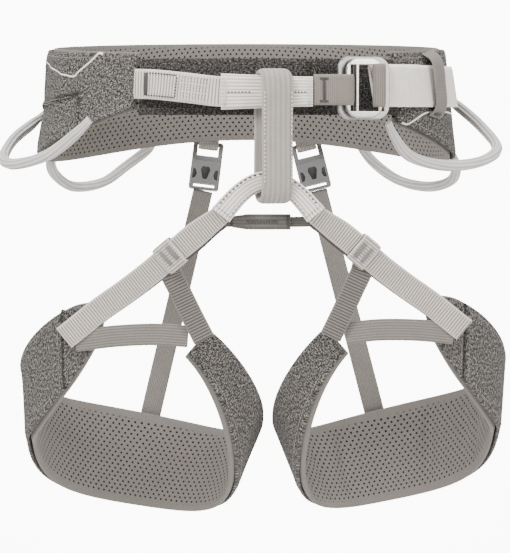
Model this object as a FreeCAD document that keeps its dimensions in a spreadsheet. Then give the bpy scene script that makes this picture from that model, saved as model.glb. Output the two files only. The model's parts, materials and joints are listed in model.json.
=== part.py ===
"""Climbing harness: padded waist belt, belay loop, lower tie-in bridge and two padded leg loops.

Frame: origin at the middle of the waist opening, +X to the wearer's left as seen from the front
(right in a front view), +Y to the wearer's back, +Z up.  Millimetres.
"""
import FreeCAD
import Part
import Sketcher
import math
import os

os.makedirs("parts", exist_ok=True)
doc = FreeCAD.newDocument("ClimbingHarness")
vec = FreeCAD.Vector
X_AXIS, Y_AXIS, Z_AXIS = vec(1, 0, 0), vec(0, 1, 0), vec(0, 0, 1)

# ---------------------------------------------------------------------------------------------
# Driving dimensions
# ---------------------------------------------------------------------------------------------
SIZES = {
    # waist belt: an oval ring that flares a little towards its lower edge
    "waist_centre": 2.5,
    "waist_half_width": 146.3,
    "waist_half_depth": 107.0,
    "waist_flare_side": 0.108,
    "waist_flare_depth": 0.10,
    "belt_left_end": -58.5,
    "belt_right_end": 225.0,
    "belt_top": 35.5,
    "belt_top_rise": 6.0,
    "belt_low": -27.0,
    "belt_low_drop": 16.5,
    "belt_low_wing": 14.5,
    "shell_thickness": 4.0,
    "lining_thickness": 4.0,
    "lining_overhang": 1.2,
    "layer_gap": 0.2,
    # soft tongues that close the belt in front
    "tongue_low": -11.0,
    "tongue_top": 27.0,
    "tongue_thickness": 5.0,
    "left_tongue_inset": 3.0,
    "left_tongue_end": -121.0,
    "right_tongue_proud": 2.6,
    "right_tongue_end": 251.0,
    # load-bearing front webbing and its tie-in sleeve
    "web_width": 22.5,
    "web_thickness": 2.0,
    "web_front": -119.5,
    "tie_in_height": 4.5,
    "tie_in_left": -14.0,
    "tie_in_right": 47.0,
    "tie_in_width": 21.0,
    "tie_in_thickness": 5.0,
    # belay loop
    "belay_centre": 20.8,
    "belay_top": 20.0,
    "belay_bottom": -70.8,
    "belay_width": 21.0,
    "belay_thickness": 4.5,
    "belay_half_gap": 7.8,
    "belay_yaw": 15.0,
    # lower tie-in arch and the strap that links the leg loops behind it
    "arch_centre": 17.5,
    "arch_height": -87.6,
    "arch_radius": 33.1,
    "arch_width": 13.0,
    "arch_depth": 6.5,
    "arch_half_angle": 69.5,
    "arch_web_width": 9.0,
    "link_left": -12.0,
    "link_right": 42.0,
    "link_width": 7.0,
    "link_thickness": 1.6,
    "link_height": -82.5,
    "link_front": -110.5,
    "link_sleeve_left": -6.5,
    "link_sleeve_right": 32.5,
    "link_sleeve_width": 10.5,
    "link_sleeve_thickness": 4.4,
    # waist buckle, two plates in one slanted plane
    "buckle_x": 80.5,
    "buckle_y": -105.0,
    "buckle_z": 7.0,
    "buckle_turn": 22.0,
    "rear_plate_length": 38.0,
    "rear_plate_height": 42.0,
    "rear_window_length": 20.0,
    "plate_thickness": 3.0,
    "front_plate_length": 27.0,
    "front_plate_height": 40.0,
    "front_window_height": 30.4,
    "front_slot_length": 3.6,
    "front_window_length": 14.0,
    "plate_bar": 2.5,
    "plate_corner": 9.0,
    "plate_edge": 0.8,
    # waist strap
    "strap_width": 29.0,
    "strap_thickness": 1.6,
    "strap_height": 7.5,
    "tail_keeper_low": -9.0,
    "tail_keeper_top": 31.0,
    # leg loops: outward distances start at the plane between the two loops
    "leg_middle": 18.0,
    "right_leg_scale": 0.956,
    "right_leg_hitch": 7.0,
    "leg_centre_y": -10.0,
    # upper and lower edge of the pad: plan, squareness, height, slopes and dips at the front
    "leg_top_out": 90.0,
    "leg_top_half_width": 88.0,
    "leg_top_back": 71.0,
    "leg_top_front": 74.0,
    "leg_top_squareness": 2.3,
    "leg_top_height": -214.4,
    "leg_top_slope": 0.596,
    "leg_top_side_slope": 0.19,
    "leg_top_saddle": 0.0047,
    "leg_top_outer_dip": 18.0,
    "leg_top_inner_dip": 8.0,
    "leg_low_out": 97.7,
    "leg_low_half_width": 77.0,
    "leg_low_back": 74.0,
    "leg_low_front": 70.0,
    "leg_low_squareness": 2.1,
    "leg_low_height": -265.4,
    "leg_low_slope": 0.905,
    "leg_low_side_slope": 0.144,
    "leg_low_saddle": 0.0052,
    "leg_low_outer_dip": 57.0,
    "leg_low_inner_dip": -14.5,
    "leg_thickness": 4.0,
    "leg_layer_gap": 0.75,
    "leg_front_end": -78.0,
    "leg_seam": -56.0,
    "leg_inner_end": 237.0,
    "leg_strap_width": 17.0,
    "elastic_width": 15.0,
    "leg_strap_thickness": 2.0,
    "leg_keeper_wall": 1.2,
    "leg_keeper_length": 14.4,
    "elastic_thickness": 1.6,
    # rear risers and their side-release clips
    "clip_width": 23.0,
    "clip_thickness": 8.0,
    "clip_body_height": 22.0,
    "clip_cavity_width": 18.6,
    "clip_cavity_thickness": 5.0,
    "clip_floor": 6.0,
    "clip_slot_width": 16.0,
    "clip_slot_height": 2.6,
    "clip_window_low": 7.5,
    "clip_window_height": 8.0,
    "clip_hub_low": 22.5,
    "clip_hub_height": 3.5,
    "clip_hub_width": 20.0,
    "clip_ring_top": 37.0,
    "clip_ring_thickness": 4.0,
    "clip_bar": 2.6,
    "clip_guide_width": 3.0,
    "clip_guide_low": 9.0,
    "prong_inner": 4.6,
    "prong_width": 2.6,
    "prong_low": 8.2,
    "prong_top": 21.8,
    "prong_thickness": 3.6,
    "barb_reach": 10.6,
    "barb_height": 6.0,
    "riser_tab_width": 15.0,
    "riser_tab_height": 13.0,
    "riser_tab_thickness": 8.0,
    "riser_tab_wall": 1.6,
    "riser_tab_rise": 1.6,
    # gear loops
    "gear_loop_radius": 3.5,
}

sheet = doc.addObject("Spreadsheet::Sheet", "Sizes")
for row, (alias, value) in enumerate(SIZES.items(), 1):
    sheet.set(f"A{row}", alias.replace("_", " "))
    sheet.set(f"B{row}", str(value))
    sheet.setAlias(f"B{row}", alias)
doc.recompute()

parts = []


def size(alias):
    return float(getattr(sheet, alias))


# ---------------------------------------------------------------------------------------------
# Soft parts: closed lofts through rectangular sections
# ---------------------------------------------------------------------------------------------
def add_shape(name, shape):
    """Keep a shape made with Part's functions as a named sub-part."""
    feature = doc.addObject("Part::Feature", name)
    feature.Label = name
    feature.Shape = shape
    parts.append(feature)
    return feature


def loft(sections):
    """Solid through a row of four-cornered sections."""
    wires = [Part.makePolygon([*corners, corners[0]]) for corners in sections]
    return Part.makeLoft(wires, True, False)


def steps(first, last, count):
    return [first + (last - first) * i / (count - 1) for i in range(count)]


def curve_through(points):
    curve = Part.BSplineCurve()
    curve.interpolate([vec(*point) for point in points])
    return curve


def strap(points, width, thickness, outward=-Y_AXIS, stations=13, lean=0.0):
    """Flat webbing along a smooth line; its face looks along outward and leans up towards the end."""
    curve = curve_through(points)
    sections = []
    whole = curve.LastParameter - curve.FirstParameter
    for u in steps(curve.FirstParameter, curve.LastParameter, stations):
        centre = curve.value(u)
        along = curve.tangent(u)[0]
        share = (u - curve.FirstParameter) / whole
        across = along.cross(outward + Z_AXIS * lean * share).normalize()
        face = across.cross(along).normalize()
        half_width = across * (width / 2)
        half_thickness = face * (thickness / 2)
        sections.append([
            centre + half_width + half_thickness,
            centre - half_width + half_thickness,
            centre - half_width - half_thickness,
            centre + half_width - half_thickness,
        ])
    return loft(sections)


def upright_strip(points, width, thickness, stations):
    """Webbing standing on edge that bends freely in plan."""
    curve = curve_through(points)
    sections = []
    for u in steps(curve.FirstParameter, curve.LastParameter, stations):
        point = curve.value(u)
        along = curve.tangent(u)[0]
        out = Z_AXIS.cross(along).normalize() * (thickness / 2)
        rise = Z_AXIS * (width / 2)
        sections.append([point + out + rise, point + out - rise, point - out - rise, point - out + rise])
    return loft(sections)


def belt_point(angle, offset, height):
    """Point on the belt's outer face, moved out by offset; 0 is -X, 90 the back, 180 is +X."""
    half_width = size("waist_half_width") - size("waist_flare_side") * height + offset
    half_depth = size("waist_half_depth") - size("waist_flare_depth") * height + offset
    turn = math.radians(angle)
    return vec(size("waist_centre") - half_width * math.cos(turn), half_depth * math.sin(turn), height)


def belt_upper_edge(angle):
    return size("belt_top") + size("belt_top_rise") * math.sin(math.radians(angle))


def belt_lower_edge(angle):
    turn = math.radians(angle)
    drop = size("belt_low_drop") * math.sin(turn) + size("belt_low_wing") * math.cos(2 * turn)
    return size("belt_low") - drop


def belt_band(start, end, outer, inner, low, top, stations):
    """Curved band on the belt; low and top are heights as functions of the angle."""
    sections = []
    for angle in steps(start, end, stations):
        sections.append([
            belt_point(angle, outer, low(angle)),
            belt_point(angle, outer, top(angle)),
            belt_point(angle, inner, top(angle)),
            belt_point(angle, inner, low(angle)),
        ])
    return loft(sections)


# ---------------------------------------------------------------------------------------------
# Moulded and metal parts: PartDesign bodies
# ---------------------------------------------------------------------------------------------
def new_body(name, placement=None):
    body = doc.addObject("PartDesign::Body", name)
    body.Label = name
    if placement:
        body.Placement = placement
    parts.append(body)
    return body


def new_sketch(body, plane, name):
    sketch = body.newObject("Sketcher::SketchObject", name)
    origin_plane = next(f for f in body.Origin.OriginFeatures if f.Role == plane)
    sketch.AttachmentSupport = (origin_plane, [""])
    sketch.MapMode = "FlatFace"
    return sketch


def rectangle(sketch, tag, left, low, width, height):
    """Rectangle whose corner and sides are expressions of the sheet's cells."""
    first = sketch.GeometryCount
    corners = [vec(0, 0, 0), vec(1, 0, 0), vec(1, 1, 0), vec(0, 1, 0)]
    for i in range(4):
        sketch.addGeometry(Part.LineSegment(corners[i], corners[(i + 1) % 4]))
    for i in range(4):
        following = first + (i + 1) % 4
        sketch.addConstraint(Sketcher.Constraint("Coincident", first + i, 2, following, 1))
    for i in (0, 2):
        sketch.addConstraint(Sketcher.Constraint("Horizontal", first + i))
        sketch.addConstraint(Sketcher.Constraint("Vertical", first + i + 1))
    dimensions = [
        ("width", width, Sketcher.Constraint("DistanceX", first, 1, first, 2, 1.0)),
        ("height", height, Sketcher.Constraint("DistanceY", first + 1, 1, first + 1, 2, 1.0)),
        ("left", left, Sketcher.Constraint("DistanceX", -1, 1, first, 1, 0.0)),
        ("low", low, Sketcher.Constraint("DistanceY", -1, 1, first, 1, 0.0)),
    ]
    for word, expression, constraint in dimensions:
        index = sketch.addConstraint(constraint)
        sketch.renameConstraint(index, f"{tag}_{word}")
        sketch.setExpression(f"Constraints.{tag}_{word}", expression)


def centred(sketch, tag, width, height):
    rectangle(sketch, tag, f"-({width}) / 2", f"-({height}) / 2", width, height)


def pad(body, sketch, length, midplane=True):
    feature = body.newObject("PartDesign::Pad", "Pad")
    feature.Profile = sketch
    feature.setExpression("Length", length)
    feature.Midplane = midplane
    return feature


def pocket(body, sketch, length):
    feature = body.newObject("PartDesign::Pocket", "Pocket")
    feature.Profile = sketch
    feature.setExpression("Length", length)
    feature.Midplane = True
    return feature


def fillet(body, base, radius, wanted):
    doc.recompute()
    names = [f"Edge{i}" for i, edge in enumerate(base.Shape.Edges, 1) if wanted(edge)]
    feature = body.newObject("PartDesign::Fillet", "Fillet")
    feature.Base = (base, names)
    feature.setExpression("Radius", radius)
    return feature


def runs_along(edge, axis):
    if not isinstance(edge.Curve, Part.Line):
        return False
    return abs(edge.Curve.Direction.dot(axis)) > 0.999


# ---------------------------------------------------------------------------------------------
# Waist belt
# ---------------------------------------------------------------------------------------------
def waist_belt():
    start, end = size("belt_left_end"), size("belt_right_end")
    shell = size("shell_thickness")
    lining = shell + size("layer_gap")
    overhang = size("lining_overhang")
    add_shape("waist_shell", belt_band(start, end, 0, -shell, belt_lower_edge, belt_upper_edge, 25))
    add_shape("waist_foam_lining", belt_band(
        start, end, -lining, -lining - size("lining_thickness"),
        lambda angle: belt_lower_edge(angle) - overhang,
        lambda angle: belt_upper_edge(angle) + overhang, 25))


def front_tongues():
    """The left tongue slides in behind the right one, under the buckle."""
    low = lambda angle: size("tongue_low")
    top = lambda angle: size("tongue_top")
    seam_gap = 0.5
    thickness = size("tongue_thickness")
    inset = size("left_tongue_inset")
    proud = size("right_tongue_proud")
    add_shape("front_tongue_left", belt_band(
        size("belt_left_end") - seam_gap, size("left_tongue_end"),
        -inset, -inset - thickness, low, top, 9))
    add_shape("front_tongue_right", belt_band(
        size("belt_right_end") + seam_gap, size("right_tongue_end"),
        proud, proud - thickness, low, top, 6))


# ---------------------------------------------------------------------------------------------
# Front webbing, tie-in sleeve and belay loop
# ---------------------------------------------------------------------------------------------
def front_webbing():
    front = size("web_front")
    height = size("tie_in_height")
    left, right = size("tie_in_left"), size("tie_in_right")
    thickness = size("web_thickness")
    route = [
        (-72.6, -93.4, 10), (-60, -101.5, 9.5), (-36, -113.5, 7),
        (left, front, height), (right - 30, front, height), (right, front, height),
    ]
    add_shape("structural_web", strap(route, size("web_width") - 2.5, thickness, stations=17))
    sleeve_route = [(left, front, height), ((left + right) / 2, front, height), (right, front, height)]
    outside = strap(sleeve_route, size("tie_in_width"), size("tie_in_thickness"), stations=5)
    hollow = strap(route, size("web_width") - 2.1, thickness + 0.4, stations=17)
    add_shape("upper_tie_in_sleeve", outside.cut(hollow))


def anchor_webbing():
    """Short web from the tie-in sleeve, through the slots of both buckle plates and back."""
    front = size("web_front")
    start = size("tie_in_right") + 0.6
    route = [vec(start, front, 0), vec(58, front - 0.8, 0), vec(67, front + 0.2, 0)]
    route += [buckle_point(a, b) for a, b in
              [(-15.5, 9.2), (-11.6, 9.0), (-9.9, 7.2), (-9.8, 0.6), (-11.4, -1.6), (-16, -1.9), (-23, -1.2)]]
    middle = (size("tie_in_height") + size("buckle_z")) / 2
    raised = [(point.x, point.y, middle) for point in route]
    add_shape("buckle_anchor_web", upright_strip(raised, size("web_width") - 1.5, 1.7, 29))


def belay_loop():
    centre = vec(size("belay_centre"), size("web_front"), (size("belay_top") + size("belay_bottom")) / 2)
    turn = FreeCAD.Rotation(Z_AXIS, size("belay_yaw"))
    body = new_body("belay_loop", FreeCAD.Placement(centre, turn))
    sketch = new_sketch(body, "YZ_Plane", "BelayProfile")
    gap, wall = "2 * Sizes.belay_half_gap", "2 * Sizes.belay_thickness"
    height = "(Sizes.belay_top - Sizes.belay_bottom)"
    centred(sketch, "outer", f"{gap} + {wall}", height)
    centred(sketch, "inner", gap, f"{height} - {wall}")
    ring = pad(body, sketch, "Sizes.belay_width")
    inside = size("belay_half_gap") + 1
    outer = fillet(body, ring, "Sizes.belay_thickness + 2.5",
                   lambda e: runs_along(e, X_AXIS) and abs(e.CenterOfMass.y) > inside)
    fillet(body, outer, "2.5", lambda e: runs_along(e, X_AXIS) and abs(e.CenterOfMass.y) < inside
           and abs(e.CenterOfMass.z) < 41)


# ---------------------------------------------------------------------------------------------
# Lower tie-in arch and link strap
# ---------------------------------------------------------------------------------------------
def ring_sector(sketch, radius, width, half_angle):
    """Closed outline between two arcs, symmetric about the upward axis."""
    middle = math.pi / 2
    turn = math.radians(half_angle)
    radii = (radius + width / 2, radius - width / 2)
    arcs = [Part.ArcOfCircle(Part.Circle(vec(0, 0, 0), Z_AXIS, r), middle - turn, middle + turn) for r in radii]
    for arc in arcs:
        sketch.addGeometry(arc)
    sketch.addGeometry(Part.LineSegment(arcs[0].StartPoint, arcs[1].StartPoint))
    sketch.addGeometry(Part.LineSegment(arcs[0].EndPoint, arcs[1].EndPoint))
    sketch.addConstraint(Sketcher.Constraint("Coincident", 2, 1, 0, 1))
    sketch.addConstraint(Sketcher.Constraint("Coincident", 2, 2, 1, 1))
    sketch.addConstraint(Sketcher.Constraint("Coincident", 3, 1, 0, 2))
    sketch.addConstraint(Sketcher.Constraint("Coincident", 3, 2, 1, 2))


def lower_tie_in():
    place = FreeCAD.Placement(vec(size("arch_centre"), size("web_front"), size("arch_height")), FreeCAD.Rotation())
    radius, half_angle = size("arch_radius"), size("arch_half_angle")
    sleeve = new_body("lower_tie_in_sleeve", place)
    outline = new_sketch(sleeve, "XZ_Plane", "SleeveOutline")
    ring_sector(outline, radius, size("arch_width"), half_angle)
    pad(sleeve, outline, "Sizes.arch_depth")
    hollow = new_sketch(sleeve, "XZ_Plane", "SleeveHollow")
    ring_sector(hollow, radius, size("arch_web_width") + 0.4, half_angle + 2)
    pocket(sleeve, hollow, "Sizes.web_thickness + 0.4")

    web = new_body("lower_tie_in_web", place)
    core = new_sketch(web, "XZ_Plane", "WebOutline")
    ring_sector(core, radius, size("arch_web_width"), half_angle)
    pad(web, core, "Sizes.web_thickness")


def leg_link():
    middle = (size("link_left") + size("link_right")) / 2
    place = FreeCAD.Placement(vec(middle, size("link_front"), size("link_height")), FreeCAD.Rotation())
    link = new_body("leg_link_strap", place)
    section = new_sketch(link, "YZ_Plane", "StrapSection")
    centred(section, "strap", "Sizes.link_thickness", "Sizes.link_width")
    pad(link, section, "Sizes.link_right - Sizes.link_left")

    middle = (size("link_sleeve_left") + size("link_sleeve_right")) / 2
    place = FreeCAD.Placement(vec(middle, size("link_front"), size("link_height")), FreeCAD.Rotation())
    sleeve = new_body("leg_link_sleeve", place)
    section = new_sketch(sleeve, "YZ_Plane", "SleeveSection")
    centred(section, "outer", "Sizes.link_sleeve_thickness", "Sizes.link_sleeve_width")
    centred(section, "inner", "Sizes.link_thickness + 0.4", "Sizes.link_width + 0.4")
    pad(sleeve, section, "Sizes.link_sleeve_right - Sizes.link_sleeve_left")


# ---------------------------------------------------------------------------------------------
# Waist buckle and strap
# ---------------------------------------------------------------------------------------------
def buckle_axes():
    turn = math.radians(size("buckle_turn"))
    along = vec(math.cos(turn), math.sin(turn), 0)
    outward = vec(math.sin(turn), -math.cos(turn), 0)
    return along, Z_AXIS, outward


def buckle_point(along_strap, outward_from_plate, height=0.0):
    """World point from distances in the buckle's own slanted plane."""
    along, up, outward = buckle_axes()
    centre = vec(size("buckle_x"), size("buckle_y"), size("buckle_z"))
    return centre + along * along_strap + outward * outward_from_plate + up * height


def buckle_plate(name, shift, outward, draw):
    turn = FreeCAD.Rotation(*buckle_axes(), "XYZ")
    body = new_body(name, FreeCAD.Placement(buckle_point(shift, outward), turn))
    sketch = new_sketch(body, "XY_Plane", name + "_outline")
    draw(sketch)
    plate = pad(body, sketch, "Sizes.plate_thickness")
    reach = vec(size("front_plate_length") / 2 - 1, size("front_window_height") / 2 + 1, 0)
    corners = fillet(body, plate, "Sizes.plate_corner", lambda e: runs_along(e, Z_AXIS)
                     and abs(e.CenterOfMass.x) > reach.x and abs(e.CenterOfMass.y) > reach.y)
    half = size("plate_thickness") / 2
    fillet(body, corners, "Sizes.plate_edge",
           lambda e: abs(abs(e.CenterOfMass.z) - half) < 0.01 and e.BoundBox.ZLength < 0.01)


def rear_plate_outline(sketch):
    centred(sketch, "plate", "Sizes.rear_plate_length", "Sizes.rear_plate_height")
    height = "Sizes.front_window_height"
    rectangle(sketch, "slot", "-11.6", f"-{height} / 2", "Sizes.front_slot_length", height)
    rectangle(sketch, "window", "-5.5", f"-{height} / 2", "Sizes.rear_window_length", height)


def front_plate_outline(sketch):
    """Narrow slot for the anchor web and a wide window for the waist strap."""
    height = "Sizes.front_window_height"
    slot_left = "-Sizes.front_plate_length / 2 + 3.4"
    window_left = f"{slot_left} + Sizes.front_slot_length + Sizes.plate_bar"
    centred(sketch, "plate", "Sizes.front_plate_length", "Sizes.front_plate_height")
    rectangle(sketch, "slot", slot_left, f"-{height} / 2", "Sizes.front_slot_length", height)
    rectangle(sketch, "window", window_left, f"-{height} / 2", "Sizes.front_window_length", height)


def buckle():
    half = size("plate_thickness") / 2
    buckle_plate("buckle_rear_frame", 0, half, rear_plate_outline)
    buckle_plate("buckle_front_frame", -1.5, 4.5 + half, front_plate_outline)


def waist_strap():
    """Load strap up through the rear plate, folded over the front plate's bar, tail back under."""
    width, thickness = size("strap_width"), size("strap_thickness")
    lift = size("strap_height") - size("buckle_z")
    up = size("strap_height")

    def route(layer, near_buckle, outer):
        points = [tuple(buckle_point(a, b, lift)) for a, b in near_buckle]
        points += [tuple(vec(118.5, -79.5, up) + vec(0.8, -0.6, 0) * layer)]
        points += [tuple(belt_point(angle, outer, up)) for angle in (213, 206, 199, 190)]
        return points

    outward, lean = vec(0.7, -0.7, 0), 0.14
    load = route(0.0, [(6.5, 1.0), (9.0, -2.3), (16, -3.0), (26, -3.0)], 2.0)
    tail = route(2.0, [(10.2, 2.0), (12.0, -0.3), (13.8, -1.15), (18, -1.25), (27, -1.2)], 4.0)
    add_shape("waist_load_strap", strap(load, width, thickness, outward, 22, lean))
    add_shape("waist_strap_tail", strap(tail, width, thickness, outward, 22, lean))
    bar = [(5.2, 6.0), (7.2, 8.6), (10.5, 9.4), (13.1, 8.4), (13.6, 6.0), (13.0, 3.9)]
    fold = [tuple(buckle_point(a, b, lift)) for a, b in bar]
    add_shape("buckle_strap_wrap", upright_strip(fold, width, 1.1, 15))


def tail_keeper():
    low = lambda angle: size("tail_keeper_low")
    top = lambda angle: size("tail_keeper_top")
    add_shape("tail_keeper", belt_band(206, 211, 7.6, 6.2, low, top, 5))


# ---------------------------------------------------------------------------------------------
# Gear loops
# ---------------------------------------------------------------------------------------------
def rounded_path(points):
    """Straight runs joined by tangent arcs."""
    points = [vec(*point) for point in points]
    edges = []
    last = points[0]
    for before, corner, after in zip(points, points[1:], points[2:]):
        back, forth = (before - corner), (after - corner)
        reach = 0.45 * min(back.Length, forth.Length)
        back.normalize()
        forth.normalize()
        bisector = (back + forth).normalize()
        half = math.acos(max(-1.0, min(1.0, back.dot(forth)))) / 2
        start, end = corner + back * reach, corner + forth * reach
        radius = reach * math.tan(half)
        middle = corner + bisector * (reach / math.cos(half) - radius)
        edges += [Part.LineSegment(last, start).toShape(), Part.Arc(start, middle, end).toShape()]
        last = end
    edges.append(Part.LineSegment(last, points[-1]).toShape())
    return Part.Wire(edges)


def gear_loop(name, points):
    path = rounded_path(points)
    start = vec(*points[0])
    ring = Part.Circle(start, vec(*points[1]) - start, size("gear_loop_radius"))
    add_shape(name, path.makePipeShell([Part.Wire(ring.toShape())], True, False))


def gear_loops():
    gear_loop("gear_loop_front_left", [
        (-110.7, -78.1, -21), (-133, -70, -38), (-158, -53, -45), (-168, -34, -42), (-164, -8, -29),
        (-150.5, 15, -16)])
    gear_loop("gear_loop_rear_left", [
        (-142, 44, -45), (-140, 66, -56), (-128, 88, -65), (-107, 102, -62), (-90, 107, -50), (-72, 106, -36)])
    gear_loop("gear_loop_front_right", [
        (102, -84, -23), (113, -77, -38), (137, -65, -45.5), (165, -49, -43.5), (179, -29, -35), (171, -4, -20),
        (150.5, 30, 0)])
    gear_loop("gear_loop_rear_right", [
        (87, 97, -31), (98, 103, -46), (117, 101, -60), (138, 88, -65), (154, 62, -60), (155, 27, -46)])


# ---------------------------------------------------------------------------------------------
# Leg loops.  side is -1 for the -X leg and +1 for the +X leg; out is measured from the middle.
# ---------------------------------------------------------------------------------------------
def leg_point(side, out, depth, height):
    if side < 0:
        return vec(size("leg_middle") - out, depth, height)
    lift = size("right_leg_hitch") * out / (2 * size("leg_top_half_width"))
    return vec(size("leg_middle") + size("right_leg_scale") * out, depth, height + lift)


def signed_power(value, power):
    return math.copysign(abs(value) ** power, value)


def leg_edge(word, angle):
    """Outward distance, depth and height on the pad's top or low edge; 0 is the outer thigh, 90 its back."""
    def cell(name):
        return size(f"leg_{word}_{name}")

    power = 2 / cell("squareness")
    sideways = signed_power(math.cos(math.radians(angle)), power)
    backwards = signed_power(math.sin(math.radians(angle)), power)
    reach = cell("back") if backwards > 0 else cell("front")
    out = cell("out") + cell("half_width") * sideways
    depth = size("leg_centre_y") + reach * backwards
    height = cell("height") - cell("slope") * depth + cell("side_slope") * (out - 96)
    height += cell("saddle") * depth ** 2
    dip = cell("outer_dip") * max(0.0, sideways) + cell("inner_dip") * max(0.0, -sideways)
    height -= dip * max(0.0, -backwards)
    return out, depth, height


def leg_section(side, angle, outer, inner, overhang):
    """Four corners of the padded band, outer face first; the end past the seam is rounded off."""
    (top_out, top_depth, top), (low_out, low_depth, low) = leg_edge("top", angle), leg_edge("low", angle)
    top, low = top + overhang, low - overhang
    past_seam = (size("leg_seam") - angle) / (size("leg_seam") - size("leg_front_end"))
    if past_seam > 0:
        keep = math.sqrt(max(0.0, 1 - past_seam ** 2)) * 0.75 + 0.25
        middle = 0.6 * top + 0.4 * low
        top, low = middle + (top - middle) * keep, middle + (low - middle) * keep
    sideways, backwards = math.cos(math.radians(angle)), math.sin(math.radians(angle))

    def corner(out, depth, height, inset):
        return leg_point(side, out - inset * sideways, depth - inset * backwards, height)

    return [
        corner(top_out, top_depth, top, outer), corner(low_out, low_depth, low, outer),
        corner(low_out, low_depth, low, inner), corner(top_out, top_depth, top, inner),
    ]


def leg_band(side, outer, inner, overhang):
    angles = steps(size("leg_front_end"), size("leg_inner_end"), 36)
    return loft([leg_section(side, angle, outer, inner, overhang) for angle in angles])


def leg_strap_route(side):
    """Centre line of the strap from the tie-in arch down to the slit in the pad."""
    top = [(40, -112.5, -77)] if side < 0 else [(35, -112.5, -77)]
    rest = [(53, -109.5, -94), (66.5, -104.5, -105.5), (80, -99.5, -117), (98, -92, -131),
            (116, -86.1, -144), (127, -83.8, -153), (137, -81.4, -161)]
    return [tuple(leg_point(side, *point)) for point in top + rest]


def leg_loop(side):
    word = "left" if side < 0 else "right"
    shell = size("leg_thickness")
    lining = shell + size("leg_layer_gap")
    width, thickness = size("leg_strap_width"), size("leg_strap_thickness")
    add_shape(f"leg_pad_shell_{word}", leg_band(side, 0, shell, 0))
    add_shape(f"leg_foam_lining_{word}", leg_band(side, lining, lining + shell, size("lining_overhang")))
    add_shape(f"leg_outer_strap_{word}", strap(leg_strap_route(side), width, thickness, stations=17))
    inner = [(66, -98.9, -118.4), (61, -96.5, -129), (53, -92, -146), (44, -89, -164)]
    add_shape(f"leg_inner_strap_{word}", strap(
        [tuple(leg_point(side, *point)) for point in inner], size("elastic_width"), thickness, stations=9))
    elastic = [(133, -78.8, -166), (106, -85.1, -162), (78, -88, -160.5), (55, -87, -162)]
    add_shape(f"leg_elastic_{word}", strap(
        [tuple(leg_point(side, *point)) for point in elastic], size("elastic_width"), size("elastic_thickness"),
        stations=9))
    leg_keeper(side, word)


def leg_keeper(side, word):
    """Webbing sleeve that slides on the leg strap and carries the inner strap."""
    route = leg_strap_route(side)
    before, centre, after = (vec(*route[i]) for i in (1, 2, 3))
    along = (after - before).normalize()
    across = along.cross(-Y_AXIS).normalize()
    face = along.cross(across)
    body = new_body(f"leg_keeper_{word}", FreeCAD.Placement(centre, FreeCAD.Rotation(along, across, face, "XYZ")))
    sketch = new_sketch(body, "YZ_Plane", "KeeperSection")
    hole_width, hole_height = "Sizes.leg_strap_width + 1.6", "Sizes.leg_strap_thickness + 1.8"
    wall = "2 * Sizes.leg_keeper_wall"
    centred(sketch, "outer", f"{hole_width} + {wall}", f"{hole_height} + {wall}")
    centred(sketch, "inner", hole_width, hole_height)
    pad(body, sketch, "Sizes.leg_keeper_length")


# ---------------------------------------------------------------------------------------------
# Rear risers: tab on the belt, side-release clip, elastic to the back of the leg loop
# ---------------------------------------------------------------------------------------------
def clip_placement(side):
    base, lean = (vec(-31, 106.6, -68), 7.0) if side < 0 else (vec(56, 104.6, -68), -14.0)
    turn = FreeCAD.Rotation(Y_AXIS, lean).multiply(FreeCAD.Rotation(X_AXIS, -10))
    return FreeCAD.Placement(base, turn)


def clip_female(side, word):
    body = new_body(f"clip_socket_{word}", clip_placement(side))
    outline = new_sketch(body, "XZ_Plane", "SocketOutline")
    rectangle(outline, "socket", "-Sizes.clip_width / 2", "0", "Sizes.clip_width", "Sizes.clip_body_height")
    rectangle(outline, "slot", "-Sizes.clip_slot_width / 2", "1.8", "Sizes.clip_slot_width",
              "Sizes.clip_slot_height")
    block = pad(body, outline, "Sizes.clip_thickness")
    edge = size("clip_width") / 2 - 1
    rounded = fillet(body, block, "2.0", lambda e: abs(e.CenterOfMass.x) > edge and (
        runs_along(e, Y_AXIS) and e.CenterOfMass.z < 1))
    fillet(body, rounded, "1.2", lambda e: runs_along(e, Z_AXIS) and abs(e.CenterOfMass.x) > edge)
    cavity = new_sketch(body, "XZ_Plane", "SocketCavity")
    rectangle(cavity, "cavity", "-Sizes.clip_cavity_width / 2", "Sizes.clip_floor", "Sizes.clip_cavity_width",
              "Sizes.clip_body_height")
    pocket(body, cavity, "Sizes.clip_cavity_thickness")
    window = new_sketch(body, "XZ_Plane", "SideWindows")
    rectangle(window, "window", "-Sizes.clip_width", "Sizes.clip_window_low", "2 * Sizes.clip_width",
              "Sizes.clip_window_height")
    pocket(body, window, "Sizes.clip_cavity_thickness")


def clip_male(side, word):
    body = new_body(f"clip_plug_{word}", clip_placement(side))
    outline = new_sketch(body, "XZ_Plane", "RingOutline")
    top_of_hub = "Sizes.clip_hub_low + Sizes.clip_hub_height"
    rectangle(outline, "ring", "-Sizes.clip_width / 2", "Sizes.clip_hub_low", "Sizes.clip_width",
              "Sizes.clip_ring_top - Sizes.clip_hub_low")
    rectangle(outline, "slot", "-Sizes.clip_slot_width / 2", top_of_hub, "Sizes.clip_slot_width",
              f"Sizes.clip_ring_top - Sizes.clip_bar - ({top_of_hub})")
    ring = pad(body, outline, "Sizes.clip_ring_thickness")
    guide = new_sketch(body, "XZ_Plane", "GuideOutline")
    rectangle(guide, "guide", "-Sizes.clip_guide_width / 2", "Sizes.clip_guide_low", "Sizes.clip_guide_width",
              "Sizes.clip_hub_low - Sizes.clip_guide_low + 1")
    joined = pad(body, guide, "Sizes.prong_thickness")
    top = size("clip_ring_top") - 1
    fillet(body, joined, "2.2", lambda e: runs_along(e, Y_AXIS) and e.CenterOfMass.z > top)


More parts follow.
